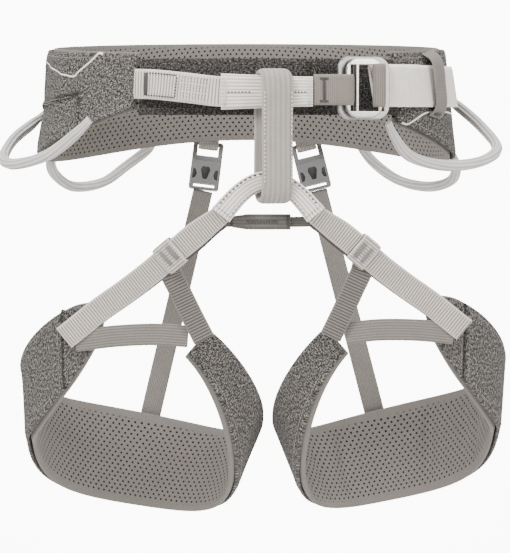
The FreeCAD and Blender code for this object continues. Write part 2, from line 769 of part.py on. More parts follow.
def clip_prong(side, word, hand):
    """Springy arm with an outward barb; hand is -1 or +1 across the clip."""
    body = new_body(f"clip_prong_{word}_{'a' if hand < 0 else 'b'}", clip_placement(side))
    outline = new_sketch(body, "XZ_Plane", "ArmOutline")
    near = "Sizes.prong_inner" if hand > 0 else "-Sizes.prong_inner - Sizes.prong_width"
    rectangle(outline, "arm", near, "Sizes.prong_low", "Sizes.prong_width", "Sizes.prong_top - Sizes.prong_low")
    pad(body, outline, "Sizes.prong_thickness")
    barb = new_sketch(body, "XZ_Plane", "BarbOutline")
    reach = "Sizes.barb_reach - Sizes.prong_inner - Sizes.prong_width"
    start = "Sizes.prong_inner + Sizes.prong_width" if hand > 0 else "-Sizes.barb_reach"
    rectangle(barb, "barb", start, "Sizes.prong_low + 0.2", reach, "Sizes.barb_height")
    pad(body, barb, "Sizes.prong_thickness")


def riser_tab(side, word):
    place = clip_placement(side)
    centre = place.multVec(vec(0, 0, size("clip_ring_top") - size("clip_bar") / 2 + size("riser_tab_rise")))
    body = new_body(f"riser_tab_{word}", FreeCAD.Placement(centre, place.Rotation))
    section = new_sketch(body, "YZ_Plane", "TabSection")
    wall = "2 * Sizes.riser_tab_wall"
    centred(section, "outer", "Sizes.riser_tab_thickness", "Sizes.riser_tab_height")
    centred(section, "inner", f"Sizes.riser_tab_thickness - {wall}", f"Sizes.riser_tab_height - {wall}")
    loop = pad(body, section, "Sizes.riser_tab_width")
    edge = size("riser_tab_thickness") / 2 - 0.1
    fillet(body, loop, "2.4", lambda e: runs_along(e, X_AXIS) and abs(e.CenterOfMass.y) > edge)


def riser(side):
    word = "left" if side < 0 else "right"
    riser_tab(side, word)
    clip_male(side, word)
    for hand in (-1, 1):
        clip_prong(side, word, hand)
    clip_female(side, word)
    start = clip_placement(side).multVec(vec(0, 0, -0.6))
    end = vec(-69, 60, -232) if side < 0 else vec(97, 60, -229)
    middle = (start + end) / 2 + vec(0, 3, 0)
    add_shape(f"riser_elastic_{word}", strap(
        [tuple(start), tuple(middle), tuple(end)], size("elastic_width"), size("elastic_thickness"),
        outward=Y_AXIS, stations=7))


# ---------------------------------------------------------------------------------------------
# Build, check and write
# ---------------------------------------------------------------------------------------------
def build():
    waist_belt()
    front_tongues()
    front_webbing()
    anchor_webbing()
    belay_loop()
    lower_tie_in()
    leg_link()
    buckle()
    waist_strap()
    tail_keeper()
    gear_loops()
    for side in (-1, 1):
        leg_loop(side)
        riser(side)
    doc.recompute()


def check_and_write():
    for thing in doc.Objects:
        if {"Invalid", "Error"} & set(thing.State):
            raise RuntimeError(f"{thing.Label} did not build: {thing.State}")
    for part in parts:
        if part.Shape.isNull() or not part.Shape.isValid() or not part.Shape.Solids:
            raise RuntimeError(f"{part.Label} is not a valid solid")
    for part in parts:
        part.Shape.exportStep(f"parts/{part.Label}.step")
        box = part.Shape.BoundBox
        print(f"{part.Label:26s} solids {len(part.Shape.Solids)} volume {part.Shape.Volume / 1000:8.2f} cm3"
              f"  x {box.XMin:7.1f} {box.XMax:7.1f}  y {box.YMin:7.1f} {box.YMax:7.1f}"
              f"  z {box.ZMin:7.1f} {box.ZMax:7.1f}")


build()
check_and_write()
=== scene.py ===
"""Looks of the climbing harness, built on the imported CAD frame.  Sizes below are millimetres."""
import json
import math

import bpy
import numpy as np
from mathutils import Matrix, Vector
from mathutils.bvhtree import BVHTree


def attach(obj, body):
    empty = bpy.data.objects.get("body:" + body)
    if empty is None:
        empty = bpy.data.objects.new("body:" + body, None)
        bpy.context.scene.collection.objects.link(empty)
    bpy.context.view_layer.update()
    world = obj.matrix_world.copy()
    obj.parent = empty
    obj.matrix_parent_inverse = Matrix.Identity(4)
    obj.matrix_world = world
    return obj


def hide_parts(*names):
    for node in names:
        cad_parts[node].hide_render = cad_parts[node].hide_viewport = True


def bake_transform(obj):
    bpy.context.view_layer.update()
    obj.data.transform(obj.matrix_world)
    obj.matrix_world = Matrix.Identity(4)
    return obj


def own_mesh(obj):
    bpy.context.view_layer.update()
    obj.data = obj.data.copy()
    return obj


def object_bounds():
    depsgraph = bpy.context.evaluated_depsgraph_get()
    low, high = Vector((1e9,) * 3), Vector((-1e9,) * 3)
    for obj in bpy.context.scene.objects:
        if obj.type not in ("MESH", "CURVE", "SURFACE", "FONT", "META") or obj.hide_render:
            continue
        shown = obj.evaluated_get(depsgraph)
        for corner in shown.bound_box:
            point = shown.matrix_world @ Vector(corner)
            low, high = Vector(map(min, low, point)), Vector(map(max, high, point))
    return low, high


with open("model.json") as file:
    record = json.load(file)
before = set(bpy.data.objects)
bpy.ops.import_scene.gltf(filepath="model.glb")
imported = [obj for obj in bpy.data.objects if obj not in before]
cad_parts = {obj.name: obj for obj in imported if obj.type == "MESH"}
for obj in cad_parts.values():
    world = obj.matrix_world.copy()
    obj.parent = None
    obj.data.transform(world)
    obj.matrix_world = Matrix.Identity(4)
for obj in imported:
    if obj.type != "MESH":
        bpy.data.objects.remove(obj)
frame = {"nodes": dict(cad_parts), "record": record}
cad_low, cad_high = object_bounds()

MM = 0.001
FRONT = np.array([0.0, -1.0, 0.0])
BACK = np.array([0.0, 1.0, 0.0])
UP = np.array([0.0, 0.0, 1.0])
SIDES = {"left": -1, "right": 1}
nodes = frame["nodes"]
scene = bpy.context.scene


# Small vector helpers

def row(*values):
    return np.array(values, dtype=float)


def unit(vectors):
    vectors = np.asarray(vectors, dtype=float)
    lengths = np.linalg.norm(vectors, axis=-1, keepdims=True)
    return vectors / np.maximum(lengths, 1e-9)


def smooth_step(value, start, end):
    t = np.clip((value - start) / (end - start), 0, 1)
    return t * t * (3 - 2 * t)


def spline(points, spacing, closed=False):
    """Evenly spaced points on a smooth line through the given points."""
    points = np.asarray(points, dtype=float)
    if closed:
        knots = np.vstack([points[-1], points, points[0], points[1]])
    else:
        first = 2 * points[0] - points[1]
        last = 2 * points[-1] - points[-2]
        knots = np.vstack([first, points, last])
    dense = []
    for a, b, c, d in zip(knots, knots[1:], knots[2:], knots[3:]):
        ta = np.linalg.norm(b - a) ** 0.5
        tb = ta + np.linalg.norm(c - b) ** 0.5
        tc = tb + np.linalg.norm(d - c) ** 0.5
        t = np.linspace(ta, tb, 40, endpoint=False)[:, None]
        p = a * (ta - t) / ta + b * t / ta
        q = b * (tb - t) / (tb - ta) + c * (t - ta) / (tb - ta)
        r = c * (tc - t) / (tc - tb) + d * (t - tb) / (tc - tb)
        pq = p * (tb - t) / tb + q * t / tb
        qr = q * (tc - t) / (tc - ta) + r * (t - ta) / (tc - ta)
        dense.append(pq * (tb - t) / (tb - ta) + qr * (t - ta) / (tb - ta))
    line = np.vstack(dense + [knots[-2][None]])
    lengths = np.concatenate([[0], np.cumsum(np.linalg.norm(np.diff(line, axis=0), axis=1))])
    count = max(4, int(round(lengths[-1] / spacing)) + 1)
    marks = np.linspace(0, lengths[-1], count)
    even = np.column_stack([np.interp(marks, lengths, line[:, i]) for i in range(3)])
    return even, marks


# Materials

class Shader:
    """A principled material with a few short ways to wire procedural detail."""

    def __init__(self, name, roughness, metallic=0.0, **constants):
        self.material = bpy.data.materials.new(name)
        self.material.use_nodes = True
        self.tree = self.material.node_tree
        self.surface = self.tree.nodes["Principled BSDF"]
        self.surface.inputs["Roughness"].default_value = roughness
        self.surface.inputs["Metallic"].default_value = metallic
        for word, value in constants.items():
            self.surface.inputs[word.replace("_", " ")].default_value = value

    def add(self, kind, values=None, **settings):
        made = self.tree.nodes.new(kind)
        for word, value in settings.items():
            setattr(made, word, value)
        for socket, value in (values or {}).items():
            if isinstance(value, bpy.types.NodeSocket):
                self.tree.links.new(value, made.inputs[socket])
            else:
                made.inputs[socket].default_value = value
        return made

    def math(self, operation, first, second=0.0):
        return self.add("ShaderNodeMath", {0: first, 1: second}, operation=operation).outputs[0]

    def cloth_coordinates(self):
        return self.add("ShaderNodeUVMap").outputs[0]

    def object_coordinates(self):
        return self.add("ShaderNodeTexCoord").outputs["Object"]

    def noise(self, vector, stretch, scale, detail=2.0, roughness=0.6):
        moved = self.add("ShaderNodeMapping", {"Vector": vector, "Scale": stretch}).outputs[0]
        values = {"Vector": moved, "Scale": scale, "Detail": detail, "Roughness": roughness}
        return self.add("ShaderNodeTexNoise", values).outputs[0]

    def wave(self, vector, direction, period, distortion=0.6):
        values = {"Vector": vector, "Scale": 0.3142 / period, "Distortion": distortion,
                  "Detail": 1.0, "Detail Scale": 1.5}
        return self.add("ShaderNodeTexWave", values, wave_type="BANDS", bands_direction=direction).outputs[1]

    def attribute(self, name):
        return self.add("ShaderNodeAttribute", attribute_name=name).outputs["Fac"]

    def ramp(self, factor, stops):
        made = self.add("ShaderNodeValToRGB", {"Fac": factor})
        ramp = made.color_ramp
        while len(ramp.elements) < len(stops):
            ramp.elements.new(0.5)
        for element, (place, colour) in zip(ramp.elements, stops):
            element.position = place
            element.color = (*colour, 1)
        return made.outputs[0]

    def mix(self, factor, first, second, blend_type="MIX"):
        made = self.add("ShaderNodeMix", data_type="RGBA", blend_type=blend_type)
        for index, value in ((0, factor), (6, first), (7, second)):
            if isinstance(value, bpy.types.NodeSocket):
                self.tree.links.new(value, made.inputs[index])
            elif index == 0:
                made.inputs[index].default_value = value
            else:
                made.inputs[index].default_value = (*value, 1)
        return made.outputs[2]

    def colour(self, socket):
        self.tree.links.new(socket, self.surface.inputs["Base Color"])

    def rough(self, socket, low, high):
        values = {"Value": socket, "To Min": low, "To Max": high}
        spread = self.add("ShaderNodeMapRange", values).outputs[0]
        self.tree.links.new(spread, self.surface.inputs["Roughness"])

    def bump(self, height, distance, strength=1.0):
        values = {"Height": height, "Distance": distance * MM, "Strength": strength}
        self.tree.links.new(self.add("ShaderNodeBump", values).outputs[0], self.surface.inputs["Normal"])


def grey(value, warmth=0.055):
    return (value * (1 + warmth), value, value * (1 - warmth))


def heather(name, dark, middle, light):
    """Melange cloth: light and dark yarns crossing in a plain weave."""
    made = Shader(name, 0.95, Sheen_Weight=0.02, Sheen_Roughness=0.5, Specular_IOR_Level=0.05)
    cloth = made.cloth_coordinates()
    weft = made.noise(cloth, (0.45, 1.0, 1.0), 1250, 2.0, 0.75)
    warp = made.noise(cloth, (1.0, 0.4, 1.0), 1050, 2.0, 0.75)
    yarns = made.math("MULTIPLY_ADD", weft, 0.55)
    yarns.node.inputs[2].default_value = 0.0
    yarns = made.math("ADD", yarns, made.math("MULTIPLY", warp, 0.45))
    tone = made.ramp(yarns, [(0.41, grey(dark)), (0.505, grey(middle)), (0.60, grey(light))])
    patches = made.noise(cloth, (1.0, 1.0, 1.0), 130, 3.0)
    tone = made.mix(0.30, tone, made.ramp(patches, [(0.3, grey(0.55)), (0.7, grey(1.0))]), "MULTIPLY")
    # Painted shade: the cloth is mixed towards a dark tone in pressed seams, darts and slits
    fold = made.attribute("groove_shade")
    tone = made.mix(fold, tone, grey(dark * 0.45))
    made.colour(tone)
    weave = made.math("MULTIPLY", made.wave(cloth, "X", 0.9 * MM), made.wave(cloth, "Y", 0.9 * MM))
    made.rough(yarns, 0.8, 0.98)
    made.bump(made.math("ADD", weave, yarns), 0.28, 0.9)
    return made.material


def perforated(name, base, hole_shade):
    """Warm grey foam cloth with small punched holes in staggered rows, plain along its rim; the holes are dark
    dots of painted shade.
    """
    pitch, row_pitch = 4.6 * MM, 3.05 * MM
    made = Shader(name, 0.85, Sheen_Weight=0.08, Specular_IOR_Level=0.12)
    cloth = made.cloth_coordinates()
    split = made.add("ShaderNodeSeparateXYZ", {0: cloth})
    rows = made.math("DIVIDE", split.outputs[1], row_pitch)
    odd = made.math("MODULO", made.math("FLOOR", rows), 2.0)
    along = made.math("ADD", made.math("DIVIDE", split.outputs[0], pitch), made.math("MULTIPLY", odd, 0.5))
    across = made.math("SUBTRACT", made.math("FRACT", along), 0.5)
    upward = made.math("MULTIPLY", made.math("SUBTRACT", made.math("FRACT", rows), 0.5), row_pitch / pitch)
    squared = made.math("ADD", made.math("MULTIPLY", across, across), made.math("MULTIPLY", upward, upward))
    away = made.math("SQRT", squared)
    # Painted shade: the punched holes are not cut; their shadowed insides are painted as dark dots
    values = {"Value": away, "From Min": 0.13, "From Max": 0.195, "To Min": 1.0, "To Max": 0.0}
    dots = made.add("ShaderNodeMapRange", values).outputs[0]
    dots = made.math("MULTIPLY", dots, made.attribute("inside"))
    knit = made.noise(cloth, (1, 1, 1), 1500, 2.0)
    shade = made.noise(cloth, (1, 1, 1), 60, 2.0)
    tone = made.ramp(knit, [(0.3, grey(base * 0.84, 0.09)), (0.7, grey(base * 1.06, 0.09))])
    tone = made.mix(0.25, tone, made.ramp(shade, [(0.3, grey(0.75)), (0.7, grey(1.0))]), "MULTIPLY")
    tone = made.mix(dots, tone, grey(hole_shade))
    # Painted shade: darker tone in pressed seams
    tone = made.mix(made.attribute("groove_shade"), tone, grey(hole_shade * 1.3))
    made.colour(tone)
    made.rough(knit, 0.75, 0.95)
    relief = made.math("SUBTRACT", made.math("MULTIPLY", knit, 0.25), dots)
    made.bump(relief, 0.6, 1.0)
    return made.material


def webbing(name, base, warmth, rib_shade_strength=0.45):
    """Woven tape; the modelled ribs carry a value that darkens the valleys as painted shade."""
    made = Shader(name, 0.75, Sheen_Weight=0.15, Sheen_Roughness=0.4, Specular_IOR_Level=0.25)
    cloth = made.cloth_coordinates()
    yarn = made.noise(cloth, (0.5, 1.0, 1.0), 1600, 2.0, 0.7)
    tone = made.ramp(yarn, [(0.3, grey(base * 0.82, warmth * 1.8)), (0.7, grey(base * 1.08, warmth * 1.8))])
    wear = made.noise(cloth, (1, 1, 1), 90, 3.0)
    tone = made.mix(0.3, tone, made.ramp(wear, [(0.3, grey(0.72)), (0.65, grey(1.0))]), "MULTIPLY")
    # Painted shade: the rib valleys are mixed towards a dark tone
    valley = made.math("MULTIPLY", made.math("POWER", made.attribute("groove_shade"), 1.4), rib_shade_strength)
    tone = made.mix(valley, tone, grey(base * 0.2, warmth * 2))
    made.colour(tone)
    made.rough(yarn, 0.6, 0.85)
    weave = made.math("MULTIPLY", made.wave(cloth, "X", 0.7 * MM), made.wave(cloth, "Y", 0.7 * MM))
    made.bump(made.math("ADD", weave, yarn), 0.14, 0.8)
    return made.material


def thread(name, value):
    made = Shader(name, 0.65, Sheen_Weight=0.2)
    spin = made.noise(made.object_coordinates(), (1, 1, 1), 2500, 1.0)
    made.colour(made.ramp(spin, [(0.3, grey(value * 0.7)), (0.7, grey(value * 1.2))]))
    made.bump(spin, 0.08)
    return made.material


def metal(name, base, low, high, scratch):
    made = Shader(name, low, 1.0)
    place = made.object_coordinates()
    grain = made.noise(place, scratch, 420, 4.0, 0.7)
    stain = made.noise(place, (1, 1, 1), 60, 2.0)
    made.colour(made.ramp(stain, [(0.3, grey(base * 0.93)), (0.7, grey(base))]))
    made.rough(grain, low, high)
    made.bump(grain, 0.02, 0.25)
    return made.material


def moulded(name, base, warmth, grain_size, low, high):
    made = Shader(name, low, Coat_Weight=0.04, Coat_Roughness=0.4)
    place = made.object_coordinates()
    grain = made.noise(place, (1, 1, 1), grain_size, 3.0)
    patch = made.noise(place, (1, 1, 1), 45, 2.0)
    tone = made.ramp(patch, [(0.3, grey(base * 0.9, warmth)), (0.7, grey(base * 1.06, warmth))])
    # Painted shade: darker tone in the hollows between moulded ridges
    tone = made.mix(made.attribute("groove_shade"), tone, grey(base * 0.5, warmth))
    made.colour(tone)
    made.rough(grain, low, high)
    made.bump(grain, 0.06, 0.5)
    return made.material


MATERIALS = {
    "heather_fabric": heather("heather cloth", 0.013, 0.056, 0.28),
    "dark_tongue": heather("dark heather cloth", 0.008, 0.030, 0.12),
    "lining": perforated("perforated lining", 0.135, 0.003),
    "cream_webbing": webbing("cream webbing", 0.80, 0.035, 0.75),
    "taupe_webbing": webbing("taupe webbing", 0.50, 0.05, 1.0),
    "elastic": webbing("elastic", 0.165, 0.055, 0.6),
    # Painted shade: a darker copy of the taupe webbing for the inner leg straps, which sit in shade
    "shaded_inner_webbing": webbing("shaded taupe webbing", 0.15, 0.055, 1.0),
    "ribbed_webbing": webbing("ribbed cream webbing", 0.62, 0.035, 1.0),
    "loop_webbing": webbing("belay tape", 0.29, 0.045, 0.35),
    "link_webbing": webbing("link tape", 0.10, 0.05, 0.5),
    "edge_webbing": webbing("dark edge tape", 0.06, 0.04, 0.6),
    "anchor_webbing": webbing("brown grey webbing", 0.17, 0.07),
    "gear_loop": moulded("moulded loop", 0.50, 0.05, 900, 0.42, 0.6),
    "clip_plastic": moulded("clip plastic", 0.11, 0.04, 1400, 0.35, 0.55),
    "polished_metal": metal("polished metal", 0.34, 0.08, 0.2, (1, 1, 6)),
    "brushed_metal": metal("brushed metal", 0.27, 0.28, 0.45, (1, 1, 14)),
    "clip_shadow": moulded("clip shadow", 0.012, 0.02, 900, 0.7, 0.9),
    "dark_thread": thread("dark thread", 0.025),
    "grey_thread": thread("grey thread", 0.15),
    "pale_thread": thread("pale thread", 0.55),
    "piping": webbing("white piping", 0.78, 0.01, 0.3),
}


# Making pieces

def make_piece(name, points, faces, look, body, replaces=(), uv=None, attributes=None):
    """A smooth mesh piece from millimetre points, riding on a body unless body is None."""
    points = np.asarray(points, dtype=float).reshape(-1, 3)
    mesh = bpy.data.meshes.new(name)
    mesh.from_pydata((points * MM).tolist(), [], faces)
    mesh.polygons.foreach_set("use_smooth", [True] * len(mesh.polygons))
    if uv is not None:
        layer = mesh.uv_layers.new(name="cloth")
        corner = np.zeros(len(mesh.loops), dtype=int)
        mesh.loops.foreach_get("vertex_index", corner)
        flat = np.asarray(uv, dtype=float).reshape(-1, 2) * MM
        layer.data.foreach_set("uv", flat[corner].ravel())
    for word, values in (attributes or {}).items():
        made = mesh.attributes.new(word, "FLOAT", "POINT")
        made.data.foreach_set("value", np.asarray(values, dtype=np.float32).ravel())
    mesh.materials.append(MATERIALS[look])
    mesh.update()
    piece = bpy.data.objects.new(name, mesh)
    scene.collection.objects.link(piece)
    if replaces:
        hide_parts(*replaces)
    if body:
        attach(piece, body)
    return piece


def tube_faces(stations, around, closed=False, capped=True):
    faces = []
    for i in range(stations if closed else stations - 1):
        a, b = i * around, ((i + 1) % stations) * around
        for j in range(around):
            k = (j + 1) % around
            faces.append((a + j, b + j, b + k, a + k))
    if capped and not closed:
        faces.append(tuple(range(around)))
        faces.append(tuple(reversed(range((stations - 1) * around, stations * around))))
    return faces


class Ribbon:
    """Flat tape along a line.  Ribs run across it or along it; (s, t) places things on its face."""

    def __init__(self, points, outward, width, thickness, spacing=0.45, closed=False):
        self.closed = closed
        self.line, self.s = spline(points, spacing, closed)
        if closed:
            self.line, self.s = self.line[:-1], self.s[:-1]
            along = np.roll(self.line, -1, axis=0) - np.roll(self.line, 1, axis=0)
        else:
            along = np.gradient(self.line, axis=0)
        self.along = unit(along)
        if callable(outward):
            outward = np.array([outward(p) for p in self.line])
        outward = np.broadcast_to(np.asarray(outward, dtype=float), self.line.shape)
        self.across = unit(np.cross(self.along, outward))
        self.face = unit(np.cross(self.across, self.along))
        self.width, self.thickness = width, thickness

    def piece(self, name, look, body, replaces=(), rib="across", pitch=1.4, depth=0.22, widths=None,
              steps=11):
        """Rounded flat section with ribs; widths may vary along the tape."""
        side = np.concatenate([np.linspace(-1, 1, steps), np.linspace(1, -1, steps)])
        top = np.concatenate([np.ones(steps), -np.ones(steps)])
        if rib == "along":
            count = max(3, int(round(self.width / pitch)))
            fine = np.linspace(-1, 1, count * 4 + 1)
            side = np.concatenate([fine, fine[::-1]])
            top = np.concatenate([np.ones(len(fine)), -np.ones(len(fine))])
        edge = np.sqrt(np.clip(1 - np.abs(side) ** 6, 0.0, 1))
        edge = np.maximum(edge, 0.25)
        half = self.width / 2 * (np.ones(len(self.s)) if widths is None else widths(self.s / self.s[-1]))
        if rib == "across":
            valley = 0.5 - 0.5 * np.cos(2 * np.pi * self.s / pitch)
            valley = np.repeat(valley[:, None], len(side), axis=1) * (np.abs(side) < 0.97)
        elif rib == "along":
            count = max(3, int(round(self.width / pitch)))
            valley = 0.5 - 0.5 * np.cos(2 * np.pi * (side + 1) / 2 * count)
            valley = np.repeat(valley[None, :], len(self.s), axis=0) * (np.abs(side) < 0.97)
        else:
            valley = np.zeros((len(self.s), len(side)))
        height = self.thickness / 2 * edge[None, :] - depth * valley
        points = (self.line[:, None] + self.across[:, None] * (half[:, None] * side[None, :])[..., None]
                  + self.face[:, None] * (height * top[None, :])[..., None])
        uv = np.stack(np.broadcast_arrays(self.s[:, None], half[:, None] * side[None, :]), axis=-1)
        # The rib valley depth also goes out as the mask for painted shade in the valleys
        return make_piece(name, points, tube_faces(len(self.s), len(side), self.closed), look, body,
                          replaces, uv, {"groove_shade": valley})

    def at(self, s, t, lift=0.0):
        place = np.clip(s, 0, self.s[-1])
        def pick(values):
            return np.array([np.interp(place, self.s, values[:, i]) for i in range(3)])
        centre, across, face = pick(self.line), pick(self.across), unit(pick(self.face))
        return centre + across * t + face * (self.thickness / 2 + lift), face


def tube(name, points, radius, look, body, replaces=(), around=16, spacing=0.8, profile=None, flat=None,
         outward=FRONT, closed=False):
    """Round or profiled tube; profile(angle) and flat(share of length) scale its radius."""
    line, s = spline(points, spacing, closed)
    along = unit(np.gradient(line, axis=0))
    side = unit(np.cross(along, np.broadcast_to(outward, line.shape)))
    face = unit(np.cross(side, along))
    turn = np.linspace(0, 2 * np.pi, around, endpoint=False)
    shape = np.ones(around) if profile is None else profile(turn)
    press = np.ones(len(s)) if flat is None else flat(s / s[-1])
    wide = radius * np.cos(turn)[None, :] * shape[None, :]
    tall = radius * np.sin(turn)[None, :] * shape[None, :] * press[:, None]
    points = line[:, None] + side[:, None] * wide[..., None] + face[:, None] * tall[..., None]
    # Painted shade mask: the hollows between the profile's ridges, for darker colour
    groove_shade = np.repeat((1 - shape / shape.max())[None, :] * 4, len(s), axis=0)
    uv = np.stack(np.broadcast_arrays(s[:, None], radius * turn[None, :]), axis=-1)
    return make_piece(name, points, tube_faces(len(s), around, False), look, body, replaces, uv,
                      {"groove_shade": np.clip(groove_shade, 0, 1)})


# Stitching: small thread loops gathered into one piece per body and thread

THREADS = {}
THREAD_RINGS = ((0, -0.5, 0.55), (0.2, 0.35, 0.95), (0.5, 0.6, 1.0), (0.8, 0.35, 0.95), (1, -0.5, 0.55))


def stitch(start, end, normal, look, body, radius=0.42):
    """One stitch: a short thread that rises from the cloth and dives back in."""
    start, end, normal = (np.asarray(v, dtype=float) for v in (start, end, normal))
    along = unit(end - start)
    side = unit(np.cross(along, normal))
    points, faces = THREADS.setdefault((body, look), ([], []))
    base = len(points)
    for share, lift, wide in THREAD_RINGS:
        centre = start + (end - start) * share + normal * lift * radius
        for turn in range(6):
            angle = turn * math.pi / 3
            points.append(centre + (side * math.cos(angle) + normal * math.sin(angle)) * radius * wide)
    for ring in range(4):
        for turn in range(6):
            following = (turn + 1) % 6
            a, b = base + ring * 6, base + (ring + 1) * 6
            faces.append((a + turn, b + turn, b + following, a + following))
    faces.append(tuple(base + i for i in range(6)))
    faces.append(tuple(base + 24 + i for i in reversed(range(6))))


def stitch_line(place, start, end, look, body, pitch=2.6, gap=0.7, radius=0.42):
    """Stitches between two (s, t) places; place(s, t) gives a surface point and its normal."""
    start, end = np.asarray(start, dtype=float), np.asarray(end, dtype=float)
    count = max(1, int(round(np.linalg.norm(end - start) / pitch)))
    for i in range(count):
        a = start + (end - start) * (i + gap * 0.25) / count
        b = start + (end - start) * (i + 1 - gap * 0.35) / count
        first, normal = place(*a)
        last, _ = place(*b)
        stitch(first, last, normal, look, body, radius)


def bartack(place, s, t, length, height, look, body, pitch=0.75, upright=True, radius=0.4):
    """Dense block of stitches; upright ones run across the tape."""
    count = max(2, int(round((length if upright else height) / pitch)))
    for i in range(count):
        share = (i + 0.5) / count - 0.5
        if upright:
            a, b = (s + share * length, t - height / 2), (s + share * length + 0.25, t + height / 2)
        else:
            a, b = (s - length / 2, t + share * height), (s + length / 2, t + share * height + 0.25)
        first, normal = place(*a)
        last, _ = place(*b)
        stitch(first, last, normal, look, body, radius)


def sew_everything():
    for (body, look), (points, faces) in THREADS.items():
        make_piece(f"stitches_{look}_{body}", points, faces, look, body)


# Padded bands: closed quilted forms on a surface(angle, share of height, depth)

PADS = []


def padded_band(name, surface, angles, rows, thickness, look, replaces, held, cap, swell_in=False):
    """Closed pad.  surface(angle, share, depth) gives a point; held(angle, share) keeps cloth still."""
    shares = np.linspace(0.0, 1.0, rows)
    loop = [(share, 0.0) for share in shares]
    loop += [(1.0, 0.35), (1.0, 0.65)]
    loop += [(share, 1.0) for share in shares[::-1]]
    loop += [(0.0, 0.65), (0.0, 0.35)]
    around = len(loop)
    points = np.zeros((len(angles), around, 3))
    tuck = 0.35
    for i, angle in enumerate(angles):
        for j, (share, depth) in enumerate(loop):
            rim = min(share, 1 - share) < 0.001
            inset = tuck if rim and depth in (0.0, 1.0) else 0.0
            side = depth + (inset if depth == 0.0 else -inset if depth == 1.0 else 0.0) * 0.6
            points[i, j] = surface(angle, share, side * thickness)
    faces = tube_faces(len(angles), around, capped=False)
    last = (len(angles) - 1) * around
    pairs = [(j, rows + 2 + (rows - 1 - j)) for j in range(rows)]
    for (a, b), (c, d) in zip(pairs, pairs[1:]):
        faces.append((a, c, d, b))
        faces.append((last + a, last + b, last + d, last + c))
    top, low = rows - 1, 0
    faces.append((top, rows, rows + 1, rows + 2))
    faces.append((last + top, last + rows + 2, last + rows + 1, last + rows))
    faces.append((low, around - 3, around - 2, around - 1))
    faces.append((last + low, last + around - 1, last + around - 2, last + around - 3))
    middle = points[:, rows // 2]
    run = np.concatenate([[0], np.cumsum(np.linalg.norm(np.diff(middle, axis=0), axis=1))])
    tall = np.linalg.norm(points[:, 0] - points[:, rows - 1], axis=1)
    shares_around = np.array([share for share, _ in loop])
    uv = np.stack(np.broadcast_arrays(run[:, None], shares_around[None, :] * tall[:, None]), axis=-1)
    share_values = np.broadcast_to(shares_around[None, :], points.shape[:2])
    angle_values = np.broadcast_to(np.asarray(angles)[:, None], points.shape[:2])
    depth_values = np.broadcast_to(np.array([depth for _, depth in loop])[None, :], points.shape[:2])
    piece = make_piece(name, points, faces, look, None, replaces, uv,
                       {"share": share_values, "angle": angle_values, "depth": depth_values})
    fixed = depth_values < 0.99 if swell_in else depth_values > 0.01
    fixed = fixed | held(angle_values, share_values)
    PADS.append((piece, fixed.ravel(), cap))
    return piece


def swell_pads():
    """Blow every pad up a little with cloth pressure, then keep a capped share of the movement."""
    rests = {}
    for piece, fixed, _ in PADS:
        rests[piece.name] = read_points(piece)
        group = piece.vertex_groups.new(name="held")
        group.add([int(i) for i in np.nonzero(fixed)[0]], 1.0, "REPLACE")
        cloth = piece.modifiers.new("swell", "CLOTH")
        settings = cloth.settings
        settings.use_pressure = True
        settings.uniform_pressure_force = 4.0
        settings.effector_weights.gravity = 0.0
        settings.vertex_group_mass = "held"
        settings.quality = 4
        settings.tension_stiffness = 12
        settings.compression_stiffness = 12
        settings.bending_stiffness = 0.4
    for step in range(1, 21):
        scene.frame_set(step)
    for piece, fixed, cap in PADS:
        rest = rests[piece.name]
        depsgraph = bpy.context.evaluated_depsgraph_get()
        shown = piece.evaluated_get(depsgraph)
        swollen = np.zeros(len(shown.data.vertices) * 3, dtype=np.float32)
        shown.data.vertices.foreach_get("co", swollen)
        moved = swollen.reshape(-1, 3).astype(float) - rest
        length = np.linalg.norm(moved, axis=1, keepdims=True)
        print(piece.name, "swelled", round(float(length.max()) / MM, 2), "mm")
        moved *= np.minimum(1.0, cap * MM / np.maximum(length, 1e-9))
        moved[fixed] = 0
        piece.modifiers.clear()
        piece.vertex_groups.clear()
        write_points(piece, rest + moved)
    scene.frame_set(1)


class Skin:
    """Nearest place on a finished pad, for stitching and piping."""

    def __init__(self, piece):
        mesh = piece.data
        world = [piece.matrix_world @ v.co for v in mesh.vertices]
        self.tree = BVHTree.FromPolygons(world, [tuple(p.vertices) for p in mesh.polygons])

    def near(self, point, lift=0.0):
        found, normal, _, _ = self.tree.find_nearest(Vector(point * MM))
        normal = np.array(normal)
        return np.array(found) / MM + normal * lift, normal


def read_points(piece):
    flat = np.zeros(len(piece.data.vertices) * 3, dtype=np.float32)
    piece.data.vertices.foreach_get("co", flat)
    return flat.reshape(-1, 3).astype(float)


def write_points(piece, points):
    piece.data.vertices.foreach_set("co", np.asarray(points, dtype=np.float32).ravel())
    piece.data.update()


def read_value(piece, word):
    values = np.zeros(len(piece.data.vertices), dtype=np.float32)
    piece.data.attributes[word].data.foreach_get("value", values)
    return values.astype(float)


def refine(piece, levels):
    """Apply a subdivision surface."""
    modifier = piece.modifiers.new("refine", "SUBSURF")
    modifier.levels = levels
    depsgraph = bpy.context.evaluated_depsgraph_get()
    mesh = bpy.data.meshes.new_from_object(piece.evaluated_get(depsgraph), preserve_all_data_layers=True,
                                           depsgraph=depsgraph)
    piece.modifiers.clear()
    old = piece.data
    piece.data = mesh
    bpy.data.meshes.remove(old)


